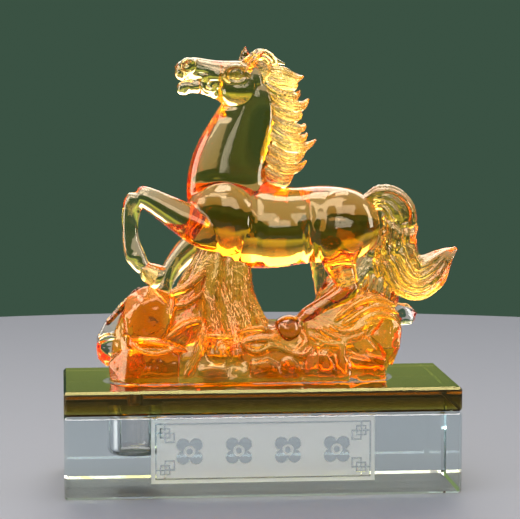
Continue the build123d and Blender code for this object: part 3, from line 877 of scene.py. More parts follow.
# Middle left: stepped ridges that climb from the lip to the strands, and a block beside them.
mid_left_parts = [
    boulder("climb", [
        (-28.6, -11.6, 46.0), (-25.0, -9.0, 58.0), (-21.8, -7.6, 62.0), (-16.4, -5.6, 66.4),
        (-15.0, -5.0, 60.0),
        (-17.6, -9.6, 52.0), (-22.6, -11.0, 51.0), (-28.0, 5.0, 46.0), (-26.0, 5.0, 60.0),
        (-17.0, 5.0, 65.0),
        (-14.0, 6.0, 50.0), (-17.0, -10.6, 44.0), (-24.0, -10.6, 44.0),
    ]),
    boulder("left_face", [
        (-25.4, -13.1, SUNK), (-24.8, -12.0, 41.0), (-21.0, -10.6, 46.0), (-18.4, -12.4, 41.6),
        (-20.4, -13.7, SUNK), (-24.0, 8.0, SUNK), (-24.0, 8.0, 50.0), (-16.0, 9.0, 50.0),
        (-16.0, 9.0, SUNK), (-17.6, -9.6, 50.0),
    ]),
    boulder("slab", [
        (-20.6, -14.1, SUNK), (-19.4, -13.8, 37.0), (-15.0, -14.0, 38.0), (-11.0, -14.0, 37.4),
        (-9.6, -13.9, SUNK), (-18.4, -8.6, 43.4), (-9.0, -8.4, 42.6), (-18.0, 10.0, SUNK),
        (-8.0, 10.0, SUNK), (-8.0, 8.0, 44.0), (-18.0, 8.0, 44.0),
    ]),
    boulder("wedge", [
        (-11.6, -13.7, SUNK), (-10.6, -12.0, 38.0), (-9.6, -9.0, 41.6), (-4.4, -9.4, 42.8),
        (-2.4, -14.2, SUNK),
        (-4.0, -13.6, 37.0), (-3.0, 10.0, SUNK), (-11.0, 10.0, SUNK), (-4.0, 8.0, 44.0),
        (-10.0, 8.0, 44.0),
    ]),
    boulder("block", [
        (-17.2, -11.0, 43.4), (-7.6, -11.4, 43.8), (-8.4, -10.6, 47.0), (-16.6, -10.2, 47.0),
        (-15.0, -6.0, 50.4),
        (-8.0, -6.0, 49.4), (-17.0, 7.0, 48.0), (-7.0, 7.0, 48.0), (-7.0, 7.0, 42.0),
        (-17.0, 7.0, 42.0),
    ]),
    ledge("ridge_low", [
        (-30.2, -12.2, 45.6, 0.8), (-26.0, -11.8, 48.8, 1.0), (-22.6, -11.6, 51.4, 1.1),
        (-17.4, -10.4, 52.0, 0.9),
    ]),
    ledge("ridge_high", [
        (-28.6, -9.6, 59.4, 0.8), (-24.0, -9.2, 61.0, 1.2), (-20.0, -8.0, 63.8, 1.5),
        (-15.6, -6.4, 67.6, 1.2),
    ]),
    ledge("ridge_fall", [
        (-17.2, -10.8, 52.0, 0.8), (-18.2, -12.2, 46.4, 1.0), (-19.0, -12.8, 41.0, 1.0),
        (-23.6, -13.2, 34.6, 0.9),
    ]),
    ledge("ridge_mid", [
        (-26.8, -9.8, 56.6, 0.7), (-23.6, -10.4, 56.2, 0.9), (-20.0, -10.0, 58.4, 0.9),
        (-16.2, -7.6, 61.6, 0.7),
    ]),
    ledge("block_edge", [
        (-17.6, -12.0, 47.4, 0.7), (-12.6, -12.8, 47.4, 0.9), (-7.4, -12.2, 46.6, 0.7),
    ]),
]
# Middle: the saddle in front of the gap under the belly, with the crest that waves to the right.
CREST = (
    (-6.3, 45.6), (-3.6, 42.6), (-0.5, 42.0), (2.7, 44.8), (8.5, 42.5), (12.6, 40.2), (16.2, 44.2),
    (20.7, 43.7), (26.1, 46.6), (28.9, 43.6), (31.1, 40.4), (36.1, 39.8), (39.0, 38.4),
)
mid_parts = [
    boulder("saddle", [
        (-7.0, -11.0, 45.0), (-3.0, -10.0, 48.0), (3.6, -8.0, 47.6), (8.0, -8.0, 46.4),
        (13.6, -9.0, 50.0),
        (15.0, -11.6, 44.0), (2.7, -12.6, 44.0), (-2.0, -12.6, 41.6), (-6.0, 10.0, 44.0),
        (0.0, 8.0, 50.0),
        (15.0, 9.0, 49.0), (15.0, 12.0, 40.0), (-6.0, 11.0, FOOT), (15.0, 12.0, FOOT),
        (14.0, -12.0, FOOT),
        (-4.0, -12.0, FOOT),
    ]),
    boulder("step_left", [
        (-3.6, -14.1, SUNK), (-3.0, -14.0, 38.6), (1.6, -13.8, 39.6), (5.4, -13.6, 37.4),
        (5.8, -14.2, SUNK),
        (-2.6, -9.4, 42.8), (4.6, -9.0, 43.0), (-4.0, 11.6, SUNK), (6.0, 12.0, SUNK),
        (-4.0, 8.0, 42.0), (6.0, 8.0, 42.0),
    ]),
    boulder("step_mid", [
        (6.0, -13.5, SUNK), (5.6, -12.6, 39.0), (9.0, -13.8, 40.2), (12.6, -13.2, 38.0),
        (12.4, -14.1, SUNK),
        (7.0, -8.4, 43.6), (12.6, -9.0, 43.0), (6.0, 12.0, SUNK), (12.0, 12.0, SUNK),
        (9.0, 9.0, 43.0),
    ]),
    boulder("step_right", [
        (12.6, -13.3, SUNK), (13.0, -12.2, 38.4), (14.4, -13.6, 41.0), (17.6, -13.6, 41.6),
        (17.6, -14.2, SUNK),
        (13.0, -9.0, 43.6), (17.6, -9.0, 45.0), (12.0, 12.0, SUNK), (17.0, 12.0, SUNK),
        (17.0, 9.0, 42.0),
    ]),
    ledge("crest_left", [
        (x, -12.6 + 0.9 * math.sin(2.1 * i), z, 1.0) for i, (x, z) in enumerate(CREST[:7])
    ]),
    ledge("crest_back", [(x, 10.4, z - 0.6, 1.4) for x, z in CREST[:7]]),
    ledge("fold_1", [
        (-7.6, -11.0, 47.8, 0.7), (-3.0, -11.4, 49.6, 0.9), (1.6, -10.8, 49.4, 0.8),
        (4.2, -9.6, 47.2, 0.5),
    ]),
    ledge("fold_2", [
        (-6.2, -12.4, 45.0, 0.8), (-1.6, -12.8, 46.4, 0.9), (3.6, -12.2, 46.2, 0.8),
        (7.0, -11.2, 44.4, 0.6),
    ]),
    ledge("fold_3", [
        (12.4, -10.2, 48.4, 0.9), (14.8, -11.0, 45.8, 1.0), (12.4, -12.4, 43.6, 0.9),
        (9.6, -13.0, 40.4, 0.7),
    ]),
]
# Right: curved waves that sweep up to the tail over dark broken faces, and one smooth cheek.
right_parts = [
    boulder("bank", [
        (12.8, -9.4, 54.0), (18.2, -8.4, 57.8), (23.4, -7.4, 59.8), (28.0, -6.4, 61.2),
        (37.6, -6.0, 58.6),
        (42.0, -5.0, 55.4), (44.4, -5.0, 48.0), (41.0, -7.0, 42.0), (15.0, -11.6, 44.0),
        (26.0, -11.6, 46.0),
        (15.0, 9.0, 49.0), (24.0, 8.0, 57.0), (30.0, 6.0, 60.0), (40.0, 6.0, 57.6),
        (45.0, 4.0, 50.0), (40.0, 8.0, 42.0),
        (15.0, 12.0, FOOT), (36.0, 9.6, FOOT), (40.0, -4.0, FOOT), (15.0, -12.0, FOOT),
        (36.0, -9.0, FOOT),
    ]),
    boulder("dark_face_1", [
        (16.4, -13.5, SUNK), (17.0, -12.6, 41.0), (20.0, -14.0, 41.4), (22.6, -13.6, 38.0),
        (22.4, -14.2, SUNK),
        (17.6, -9.0, 45.4), (22.6, -9.0, 45.0), (15.0, 10.0, SUNK), (22.0, 10.0, SUNK),
        (20.0, 4.0, 45.0),
    ]),
    boulder("dark_face_2", [
        (22.4, -12.9, SUNK), (22.8, -12.0, 40.0), (24.8, -13.6, 42.6), (27.2, -13.4, 38.0),
        (27.0, -14.1, SUNK),
        (23.0, -8.6, 45.6), (27.0, -8.6, 46.0), (22.0, 10.0, SUNK), (27.0, 10.0, SUNK),
        (25.0, 4.0, 46.0),
    ]),
    boulder("dark_box", [
        (27.2, -13.2, 34.4), (27.2, -12.6, 40.6), (31.4, -12.8, 39.6), (38.2, -10.2, 38.2),
        (39.2, -9.6, SUNK),
        (31.4, -13.1, SUNK), (29.0, -8.4, 43.6), (37.0, -6.6, 41.4), (27.0, 8.0, 41.0),
        (38.0, 6.0, 39.0),
        (38.0, 6.0, SUNK), (27.0, 8.0, SUNK),
    ]),
    boulder("dark_ledge", [
        (27.8, -11.6, 47.0), (33.2, -10.8, 45.4), (36.8, -9.8, 41.6), (32.6, -11.6, 41.6),
        (28.6, -12.2, 44.0),
        (30.0, -6.0, 49.0), (36.0, -5.0, 45.0),
    ]),
    boulder("cheek", [
        (36.0, -9.8, 48.4), (41.6, -6.4, 53.4), (44.4, -6.0, 47.6), (43.6, -7.6, 42.6),
        (37.6, -10.8, 42.6),
        (34.0, -10.0, 46.4), (39.0, -7.6, 52.0), (38.0, 0.0, 52.0), (44.4, -2.0, 51.0),
        (41.6, -4.0, 36.0),
    ]),
    ledge("crest_right", [
        (x, -12.8 + 0.1 * (x - 14.0) + 0.8 * math.sin(2.1 * i), z, 0.95)
        for i, (x, z) in enumerate(CREST[6:])
    ]),
    ledge("drop_ridge", [
        (25.8, -12.6, 45.6, 0.9), (24.2, -13.2, 41.6, 1.0), (26.4, -13.6, 34.8, 0.8),
    ]),
]
# The waves: (x, z) arcs from the shank up and over towards the tail, one in front of the other.
WAVES = (
    (-10.4, ((23.0, 51.6), (26.4, 54.0), (31.0, 58.0), (37.0, 58.0), (43.2, 55.0))),
    (-10.9, ((24.6, 49.8), (28.6, 52.0), (33.4, 55.6), (38.6, 55.4), (43.4, 52.8))),
    (-11.3, ((26.0, 48.0), (30.2, 50.0), (34.6, 53.2), (39.0, 53.2), (42.6, 50.8))),
    (-11.6, ((20.6, 50.2), (25.0, 47.6), (29.4, 48.2), (33.0, 50.8), (37.6, 51.2))),
    (-11.8, ((17.6, 49.6), (21.4, 46.6), (26.0, 45.6), (30.2, 46.4), (33.4, 48.6))),
    (-12.0, ((14.4, 47.6), (18.6, 45.0), (22.6, 44.0), (26.4, 44.4), (29.6, 45.4))),
)
WAVE_WIDTHS = (0.5, 1.0, 1.25, 1.1, 0.5)
for number, (y, arc) in enumerate(WAVES):
    right_parts.append(ledge(f"wave_{number}", [
        (x, y + 0.055 * max(x - 24.0, 0.0) ** 1.2, z, width) for (x, z), width in zip(
            arc, WAVE_WIDTHS,
        )
    ]))
    right_parts.append(ledge(f"back_wave_{number}", [
        (x, -0.86 * y, z - 0.6, width) for (x, z), width in zip(arc, WAVE_WIDTHS)
    ]))
# Two clear boulders stick out behind the rest, one at each end.
left_back_parts = [
    boulder("left_back_stone", [
        (-50.0, -1.0, 42.5), (-49.4, 1.5, 38.8), (-46.8, -2.5, 36.9), (-49.6, -1.0, 46.0),
        (-46.8, -3.0, 51.4),
        (-42.8, -2.0, 56.0), (-38.0, 0.0, 60.6), (-36.0, 3.0, 61.4), (-42.0, 5.0, 53.0),
        (-47.0, 4.6, 48.0),
        (-47.6, 4.4, 42.0), (-42.0, -4.0, 40.0), (-42.0, 5.2, 37.0), (-36.0, 5.6, 40.0),
    ]),
    ledge(
        "left_back_fold",
        [(-49.4, -2.0, 44.4, 0.8), (-46.6, -3.6, 46.6, 1.0), (-43.6, -4.6, 46.2, 0.9)],
    ),
]
right_tip_parts = [
    boulder("right_tip_stone", [
        (49.8, -1.0, 52.6), (49.6, 1.5, 49.8), (48.2, 3.0, 49.2), (47.8, -3.0, 49.0),
        (47.4, 0.0, 55.0),
        (45.4, -3.4, 54.6), (45.6, 3.4, 54.4), (44.0, 1.0, 48.0), (40.0, -4.0, 49.0),
        (40.0, 4.0, 49.0),
        (40.0, -4.0, 56.0), (40.0, 4.0, 56.0),
    ]),
]
ROCK_VOXEL = 0.42
rock_pieces = {}
for rock_name, parts, noise in (
    ("rock_left_skin", left_parts, 0.3), ("rock_mid_left_skin", mid_left_parts, 0.4),
    ("rock_mid_skin", mid_parts, 0.4), ("rock_right_skin", right_parts, 0.3),
    ("rock_left_back_skin", left_back_parts, 0.3), ("rock_right_tip_skin", right_tip_parts, 0.15),
):
    whole = join(rock_name, parts)
    fuse(whole, ROCK_VOXEL, 3, 0.5)
    roughen(whole, 3.4, noise)
    rock_pieces[rock_name] = whole
print("rocks", {name: triangles(item) for name, item in rock_pieces.items()})

# %% [markdown]
# ### The foot of the casting
#
# Under the rocks the casting ends in a thin flat foot. It is drawn a little smaller than the
# outline below, so that the broken faces of the rocks run down almost to the plate.

# %% Plinth
plinth_outline = (
    (-46.5, -8.0), (-41.0, -12.5), (-27.0, -14.0), (-8.0, -13.5), (10.0, -14.0), (27.0, -13.5),
    (38.0, -11.0), (41.5, -4.0), (41.0, 5.0), (36.0, 11.0), (22.0, 13.5), (4.0, 14.0),
    (-14.0, 13.5),
    (-26.0, 12.0), (-32.0, 7.2), (-38.0, 5.8), (-44.0, 5.4), (-47.0, 1.0),
)
PLINTH_BOTTOM = 32.7
PLINTH_TOP = 33.5
PLINTH_SHRINK_X, PLINTH_SHRINK_Y = 0.965, 0.91
outline_curve = bpy.data.curves.new("plinth_outline", "CURVE")
outline_curve.dimensions = "2D"
outline_line = outline_curve.splines.new("BEZIER")
outline_line.bezier_points.add(len(plinth_outline) - 1)
for point, (x, y) in zip(outline_line.bezier_points, plinth_outline):
    point.co = (x * PLINTH_SHRINK_X * MM, y * PLINTH_SHRINK_Y * MM, 0.0)
    point.handle_left_type = point.handle_right_type = "AUTO"
outline_line.use_cyclic_u = True
outline_curve.resolution_u = 8
outline_curve.extrude = (PLINTH_TOP - PLINTH_BOTTOM) / 2 * MM
outline_curve.fill_mode = "BOTH"
plinth = bpy.data.objects.new("plinth_skin", outline_curve)
scene.collection.objects.link(plinth)
pick(plinth)
bpy.ops.object.convert(target="MESH")
plinth = bpy.context.object
plinth.location.z = (PLINTH_TOP + PLINTH_BOTTOM) / 2 * MM
settle(plinth)
modify(plinth, "WELD", merge_threshold=0.01 * MM)
modify(
    plinth, "BEVEL", width=0.25 * MM, segments=3, limit_method="ANGLE",
    angle_limit=math.radians(50),
)
print("plinth", triangles(plinth), "triangles")

# %% [markdown]
# ## One casting, many pieces
#
# The pieces of the casting run into each other, as one melt would. Glass inside glass has no
# skin, though, so wherever one piece is buried in another its surface must not be seen. Each
# vertex stores how deep it lies inside the other pieces, and the materials hide the skin where
# that depth is more than a few hundredths of a millimetre. The amber streaks of the melt are
# stored in the same way, as a weight painted in soft blobs, and on the rocks that weight also
# holds painted shade and painted highlights.

# %% Measure how deep each piece lies in the others
horse = bpy.data.objects["horse_body"]
casting = {
    "horse_body": horse, "mane_hair": mane, "forelock_hair": forelock, "ear_near_skin": ear_near,
    "ear_far_skin": ear_far, "tail_hair": tail, "chest_strands": strands, "plinth_skin": plinth,
    **rock_pieces,
}
OUTSIDE_MM = -2.0  # the depth stored for a point that lies in no other piece
HIDDEN_MM = 0.04  # a skin buried deeper than this is not seen


def store(item, name, values):
    """Keep one number per vertex on the mesh."""
    layer = item.data.attributes.new(name, "FLOAT", "POINT")
    layer.data.foreach_set("value", np.asarray(values, dtype=np.float32))


def depth_inside(point, tree):
    """How deep a point lies under a closed skin, in metres; negative outside."""
    place, normal, _, distance = tree.find_nearest(point)
    return distance if (point - place).dot(normal) < 0.0 else -distance


trees, boxes = {}, {}
for piece_name, item in casting.items():
    item.data.update()
    points = points_of(item)
    boxes[piece_name] = (points.min(axis=0), points.max(axis=0))
    polygons = [tuple(face.vertices) for face in item.data.polygons]
    trees[piece_name] = BVHTree.FromPolygons([Vector(point) for point in points], polygons)

for piece_name, item in casting.items():
    points = points_of(item)
    depth = np.full(len(points), OUTSIDE_MM * MM)
    for other_name, tree in trees.items():
        if other_name == piece_name:
            continue
        low, high = boxes[other_name]
        near = np.flatnonzero(((points > low) & (points < high)).all(axis=1))
        for index in near:
            depth[index] = max(depth[index], depth_inside(Vector(points[index]), tree))
    store(item, "buried_mm", depth / MM)
    print(piece_name, len(points), "points,", int((depth > 0).sum()), "buried")

# %% [markdown]
# ### The amber streaks, with painted shade and highlights on the rocks
#
# The melt is amber in places and clear in others. It is orange down the front of the neck and
# breast, at the root of the raised foreleg, at the withers, over the thigh, at the tips of the
# mane and along the edge of the tail. On the rocks the same weight is painted deeper on the broken
# faces along the foot, as painted shade, and paler on the ledges, as painted highlights.

# %% Paint the amber streaks, and the rocks' painted shade and highlights
def paint(item, base, blobs):
    """Soft blobs of amber: (centre, reach, weight) over an even base."""
    points = points_of(item)
    weight = np.full(len(points), base)
    for centre, reach, amount in blobs:
        weight += falloff(points, centre, reach) * amount
    store(item, "amber", np.clip(weight, 0.0, 1.0))


paint(horse, 0.06, [
    ((-20.0, 0.0, 86.0), (9.0, 14.0, 12.0), 0.9), ((-23.0, 0.0, 100.0), (6.0, 14.0, 16.0), 0.8),
    ((-17.0, -6.0, 79.0), (13.0, 9.0, 6.5), 1.0), ((-28.0, -6.5, 87.0), (9.0, 6.0, 4.5), 0.8),
    ((3.0, 0.0, 93.0), (7.0, 12.0, 7.0), 0.8), ((27.0, -8.0, 78.0), (12.0, 10.0, 14.0), 1.0),
    ((-9.0, -9.0, 79.0), (12.0, 6.0, 12.0), 0.8), ((-23.0, 0.0, 126.6), (3.0, 6.0, 3.0), 0.4),
    ((-19.0, 0.0, 122.0), (5.0, 6.0, 2.6), 0.3), ((-6.8, 0.0, 126.4), (4.6, 9.0, 3.6), 0.45),
    ((20.0, -8.0, 66.0), (8.0, 8.0, 9.0), 0.6), ((8.0, -8.4, 48.4), (7.5, 8.0, 7.5), 0.7),
    ((18.0, -7.4, 55.0), (12.0, 7.0, 7.0), 0.35), ((-4.0, -4.0, 118.0), (5.0, 6.0, 6.0), 0.2),
    ((-8.0, 0.0, 71.0), (10.0, 9.0, 6.0), 0.6), ((-3.0, 0.0, 127.0), (4.0, 6.0, 5.0), 0.4),
])
paint(mane, 0.14, [
    ((17.0, 0.0, 107.0), (7.0, 9.0, 6.0), 0.8), ((16.0, 0.0, 119.0), (6.0, 9.0, 5.0), 0.7),
    ((14.0, 0.0, 127.0), (6.0, 9.0, 5.0), 0.7), ((11.0, 0.0, 95.0), (6.0, 9.0, 5.0), 0.6),
])
paint(forelock, 0.45, [((-1.0, 0.0, 132.0), (6.0, 6.0, 4.0), 0.4)])
paint(ear_near, 0.8, [])
paint(ear_far, 1.0, [])
paint(tail, 0.26, [
    ((34.0, 0.0, 88.0), (9.0, 9.0, 6.0), 0.5), ((58.0, 0.0, 64.0), (8.0, 9.0, 10.0), 0.8),
    ((40.0, 0.0, 70.0), (5.0, 9.0, 14.0), 0.5), ((50.0, 0.0, 56.0), (14.0, 9.0, 5.0), 0.4),
])
paint(strands, 0.28, [
    ((-22.0, 0.0, 56.0), (9.0, 20.0, 18.0), 0.4), ((-4.0, -8.0, 60.0), (5.0, 8.0, 12.0), 0.3),
    ((0.0, 0.0, 52.0), (8.0, 20.0, 14.0), -0.5), ((-12.0, 0.0, 73.0), (9.0, 9.0, 6.0), 0.5),
])
paint(plinth, 0.0, [])
# The rocks are amber through and through. The broken faces along the foot are painted a deeper
# amber as painted shade under the ledges, and the ledges above those faces are painted paler as a
# painted highlight where the light from above falls on them.
paint(rock_pieces["rock_left_skin"], 0.8, [
    ((-33.0, -13.0, 43.8), (10.0, 3.6, 2.8), -0.9), ((-28.0, -12.0, 52.0), (2.6, 5.0, 9.0), -0.6),
    ((-36.0, -12.0, 36.0), (14.0, 6.0, 5.0), 0.4),
])
# Painted shade deepens the foot of the slab, and painted highlights pale the edge of the block and
# the falling ridge.
paint(rock_pieces["rock_mid_left_skin"], 0.28, [
    ((-11.0, -12.0, 44.0), (8.0, 6.0, 6.0), -0.8), ((-6.0, -12.0, 38.0), (5.0, 6.0, 5.0), -0.5),
    ((-22.0, -11.0, 48.0), (5.0, 7.0, 4.0), 0.6), ((-20.0, -8.0, 58.0), (8.0, 8.0, 6.0), 0.4),
    ((-14.0, -13.0, 35.0), (6.0, 4.0, 3.4), 0.7), ((-18.4, -12.0, 45.0), (2.0, 4.0, 9.0), -0.5),
])
# Painted shade deepens the steps along the foot, and a painted highlight pales the crest.
paint(rock_pieces["rock_mid_skin"], 0.42, [
    ((6.0, -13.0, 36.0), (14.0, 6.0, 4.4), 0.8), ((4.0, -12.0, 44.4), (14.0, 5.0, 3.0), -0.6),
])
# Painted shade deepens the dark faces along the foot, and painted highlights pale the waves and the
# crest.
paint(rock_pieces["rock_right_skin"], 0.28, [
    ((20.0, -13.0, 37.4), (11.0, 7.0, 5.6), 0.9), ((34.0, -12.0, 37.4), (9.0, 7.0, 5.4), 0.8),
    ((28.0, -11.0, 52.0), (14.0, 4.0, 5.0), -0.4), ((42.0, 0.0, 40.0), (4.0, 14.0, 12.0), -0.3),
    ((22.0, -12.0, 44.6), (14.0, 4.0, 2.4), -0.4),
])
paint(rock_pieces["rock_left_back_skin"], 0.0, [((-49.0, 0.0, 40.0), (6.0, 8.0, 5.0), 0.7)])
paint(rock_pieces["rock_right_tip_skin"], 0.0, [])
print("amber painted on", len(casting), "pieces")

# %% [markdown]
# ## Materials
#
# The glass is one Principled shader per piece. Most of its depth of colour comes from absorption
# inside it, so thin edges stay pale and thick rocks turn deep orange, and painted streaks add the
# amber. The rocks and the spray are slightly cloudy, and a warm specular tint keeps their
# reflections from turning blue. Both are chosen, not measured from real glass. The shared
# effects are node groups with named sockets: the skin that hides buried faces, the amber tint,
# the ripple left by fire polishing, and the bonded zones.

# %% Node groups
def new_group(name, inputs, outputs):
    """An empty node group with its interface: lists of (name, kind, default)."""
    group = bpy.data.node_groups.new(name, "ShaderNodeTree")
    for label, kind, default in inputs:
        socket = group.interface.new_socket(label, in_out="INPUT", socket_type=f"NodeSocket{kind}")
        socket.default_value = default
    for label, kind in outputs:
        group.interface.new_socket(label, in_out="OUTPUT", socket_type=f"NodeSocket{kind}")
    return group, group.nodes.new("NodeGroupInput"), group.nodes.new("NodeGroupOutput")


def math_node(group, operation, first, second=None, clamp=False):
    """A Math node whose inputs are numbers or other nodes' sockets."""
    node = group.nodes.new("ShaderNodeMath")
    node.operation = operation
    node.use_clamp = clamp
    for socket, value in zip(node.inputs, (first, second)):
        if isinstance(value, (int, float)):
            socket.default_value = value
        elif value is not None:
            group.links.new(value, socket)
    return node.outputs[0]


def dial(node, **values):
    """Set a node's named inputs; an underscore stands for a space."""
    for label, value in values.items():
        node.inputs[label.replace("_", " ")].default_value = value


def object_noise(tree, **values):
    """A noise texture laid in the object's own coordinates, with its named inputs set."""
    noise = tree.nodes.new("ShaderNodeTexNoise")
    place = tree.nodes.new("ShaderNodeTexCoord")
    tree.links.new(place.outputs["Object"], noise.inputs["Vector"])
    dial(noise, **values)
    return noise


def stretch(tree, value, factor, base):
    """A value times a factor, plus a base."""
    socket = math_node(tree, "MULTIPLY_ADD", value, factor)
    socket.node.inputs[2].default_value = base
    return socket


def object_place(group):
    """The point being shaded, as separate X, Y and Z in metres."""
    place = group.nodes.new("ShaderNodeTexCoord")
    split = group.nodes.new("ShaderNodeSeparateXYZ")
    group.links.new(place.outputs["Object"], split.inputs[0])
    return split.outputs


# Skin: 1 where the piece's own surface is the outside of the casting, 0 where it is buried.
skin_group, _, skin_out = new_group("Casting Skin", [], [("Alpha", "Float")])
buried = skin_group.nodes.new("ShaderNodeAttribute")
buried.attribute_name = "buried_mm"
skin_group.links.new(
    math_node(skin_group, "LESS_THAN", buried.outputs["Fac"], HIDDEN_MM), skin_out.inputs["Alpha"],
)

# Amber tint: from the pale glass to the amber glass by the painted weight, with soft streaks.
tint_group, tint_in, tint_out = new_group(
    "Amber Streaks",
    [("Pale Glass", "Color", (1.0, 0.99, 0.93, 1.0)), (
        "Amber Glass", "Color", (1.0, 0.42, 0.08, 1.0),
    ),
     ("Streak Size", "Float", 90.0), ("Streak Strength", "Float", 0.35)],
    [("Color", "Color")],
)
painted = tint_group.nodes.new("ShaderNodeAttribute")
painted.attribute_name = "amber"
streaks = object_noise(tint_group, Detail=2.0)
tint_group.links.new(tint_in.outputs["Streak Size"], streaks.inputs["Scale"])
centred = math_node(tint_group, "SUBTRACT", streaks.outputs["Fac"], 0.5)
spread = math_node(tint_group, "MULTIPLY", centred, tint_in.outputs["Streak Strength"])
swing = math_node(
    tint_group, "MULTIPLY", spread, math_node(tint_group, "ADD", painted.outputs["Fac"], 0.3),
)
weight = math_node(tint_group, "ADD", painted.outputs["Fac"], swing, clamp=True)
tint_mix = tint_group.nodes.new("ShaderNodeMix")
tint_mix.data_type = "RGBA"
tint_group.links.new(weight, tint_mix.inputs["Factor"])
tint_group.links.new(tint_in.outputs["Pale Glass"], tint_mix.inputs["A"])
tint_group.links.new(tint_in.outputs["Amber Glass"], tint_mix.inputs["B"])
tint_group.links.new(tint_mix.outputs["Result"], tint_out.inputs["Color"])

# Fire polish: the faint ripple of a surface that was melted smooth, for a Normal socket.
polish_group, polish_in, polish_out = new_group(
    "Fire Polish",
    [("Ripple Scale", "Float", 260.0), ("Ripple Depth", "Float", 0.08)],
    [("Normal", "Vector"), ("Height", "Float")],
)
ripple = object_noise(polish_group, Detail=1.5)
ripple_bump = polish_group.nodes.new("ShaderNodeBump")
ripple_bump.inputs["Distance"].default_value = 0.5 * MM
polish_group.links.new(polish_in.outputs["Ripple Scale"], ripple.inputs["Scale"])
polish_group.links.new(polish_in.outputs["Ripple Depth"], ripple_bump.inputs["Strength"])
polish_group.links.new(ripple.outputs["Fac"], ripple_bump.inputs["Height"])
polish_group.links.new(ripple_bump.outputs["Normal"], polish_out.inputs["Normal"])
polish_group.links.new(ripple.outputs["Fac"], polish_out.inputs["Height"])

# Bonded footprint: 1 inside the glued area between plate and casting, clear of the stopper.
foot_group, foot_in, foot_out = new_group(
    "Bonded Footprint",
    [("Half Length", "Float", 0.0408), ("Half Depth", "Float", 0.0117)], [("Mask", "Float")],
)
FOOT_MIDDLES = ((-0.0027, "Half Length"), (-0.0006, "Half Depth"))
foot_terms = []
for axis, (middle, half) in zip(object_place(foot_group), FOOT_MIDDLES):
    offset = math_node(foot_group, "SUBTRACT", axis, middle)
    ratio = math_node(foot_group, "DIVIDE", offset, foot_in.outputs[half])
    foot_terms.append(
        math_node(foot_group, "POWER", math_node(foot_group, "ABSOLUTE", ratio), 4.0),
    )
foot_sum = math_node(foot_group, "ADD", *foot_terms)
foot_group.links.new(math_node(foot_group, "LESS_THAN", foot_sum, 1.0), foot_out.inputs["Mask"])
print("node groups", [group.name for group in bpy.data.node_groups])

# %% [markdown]
# ### Glass of the casting
#
# Six glasses made by one function: the horse, the hair, the spray under the chest, the deep
# rocks, the nearly clear boulders at each end, and the foot. They differ in how strongly they
# absorb, how they are tinted, how rippled they are and how cloudy.

# %% Casting glass
IOR_CRYSTAL = 1.52


def new_material(name):
    """A material with its node tree and its Principled shader."""
    material = bpy.data.materials.new(name)
    material.use_nodes = True
    tree = material.node_tree
    return material, tree, tree.nodes["Principled BSDF"]


def use_group(tree, group, **settings):
    """Put a node group into a tree and set its named inputs."""
    node = tree.nodes.new("ShaderNodeGroup")
    node.node_tree = group
    dial(node, **settings)
    return node


def absorb(tree, colour, density):
    """Depth of colour: what the glass swallows on the way through, per metre."""
    volume = tree.nodes.new("ShaderNodeVolumeAbsorption")
    dial(volume, Color=(*colour, 1.0), Density=density)
    tree.links.new(volume.outputs["Volume"], tree.nodes["Material Output"].inputs["Volume"])


def casting_glass(name, colour, density, roughness, ripple_depth, pale, amber, glint, clarity=1.0):
    """Glass of the casting: hidden where buried, tinted by its streaks, coloured by its depth."""
    material, tree, shader = new_material(name)
    dial(shader, IOR=IOR_CRYSTAL, Roughness=roughness, Metallic=0.0, Transmission_Weight=clarity)
    dial(shader, Specular_Tint=(*glint, 1.0))
    tint = use_group(tree, tint_group, Pale_Glass=(*pale, 1.0), Amber_Glass=(*amber, 1.0))
    skin = use_group(tree, skin_group)
    polish = use_group(tree, polish_group, Ripple_Depth=ripple_depth)
    tree.links.new(tint.outputs["Color"], shader.inputs["Base Color"])
    tree.links.new(skin.outputs["Alpha"], shader.inputs["Alpha"])
    tree.links.new(polish.outputs["Normal"], shader.inputs["Normal"])
    absorb(tree, colour, density)
    return material


PALE, AMBER = (1.0, 0.985, 0.90), (1.0, 0.46, 0.05)
glass_horse = casting_glass(
    "horse_glass", (0.98, 0.77, 0.0), 135.0, 0.06, 0.03, PALE, AMBER, (1.0, 0.85, 0.6),
)
glass_strand = casting_glass(
    "strand_glass", (0.98, 0.83, 0.0), 140.0, 0.02, 0.02, (1.0, 0.975, 0.85), AMBER,
    (1.0, 0.88, 0.66),
)
glass_spray = casting_glass(
    "spray_glass", (0.98, 0.82, 0.0), 140.0, 0.02, 0.02, (1.0, 0.86, 0.2), AMBER, (1.0, 0.8, 0.5),
    0.96,
)
glass_rock = casting_glass(
    "rock_glass", (0.998, 0.79, 0.0), 180.0, 0.02, 0.04,
    (1.0, 0.84, 0.13), (1.0, 0.27, 0.0), (1.0, 0.66, 0.42), 0.92,
)
glass_pale_rock = casting_glass(
    "pale_rock_glass", (0.97, 0.93, 0.72), 60.0, 0.02, 0.08, PALE, AMBER, (1.0, 1.0, 1.0),
)

# The foot: as the rocks, and its glued underside is open so that light passes to the plate.
glass_foot = casting_glass(
    "foot_glass", (0.98, 0.90, 0.1), 60.0, 0.03, 0.02, PALE, AMBER, (1.0, 0.8, 0.4),
)
foot_tree = glass_foot.node_tree
foot_mask = use_group(foot_tree, foot_group)
foot_under = math_node(foot_tree, "LESS_THAN", object_place(foot_tree)[2], plate_top + 0.2 * MM)
foot_open = math_node(foot_tree, "MULTIPLY", foot_mask.outputs["Mask"], foot_under)
foot_skin = next(
    node for node in foot_tree.nodes if node.type == "GROUP" and node.node_tree == skin_group
)
foot_alpha = math_node(foot_tree, "SUBTRACT", foot_skin.outputs["Alpha"], foot_open, clamp=True)
foot_tree.links.new(foot_alpha, foot_tree.nodes["Principled BSDF"].inputs["Alpha"])
print("casting glasses", len([m for m in bpy.data.materials if m.name.endswith("glass")]))

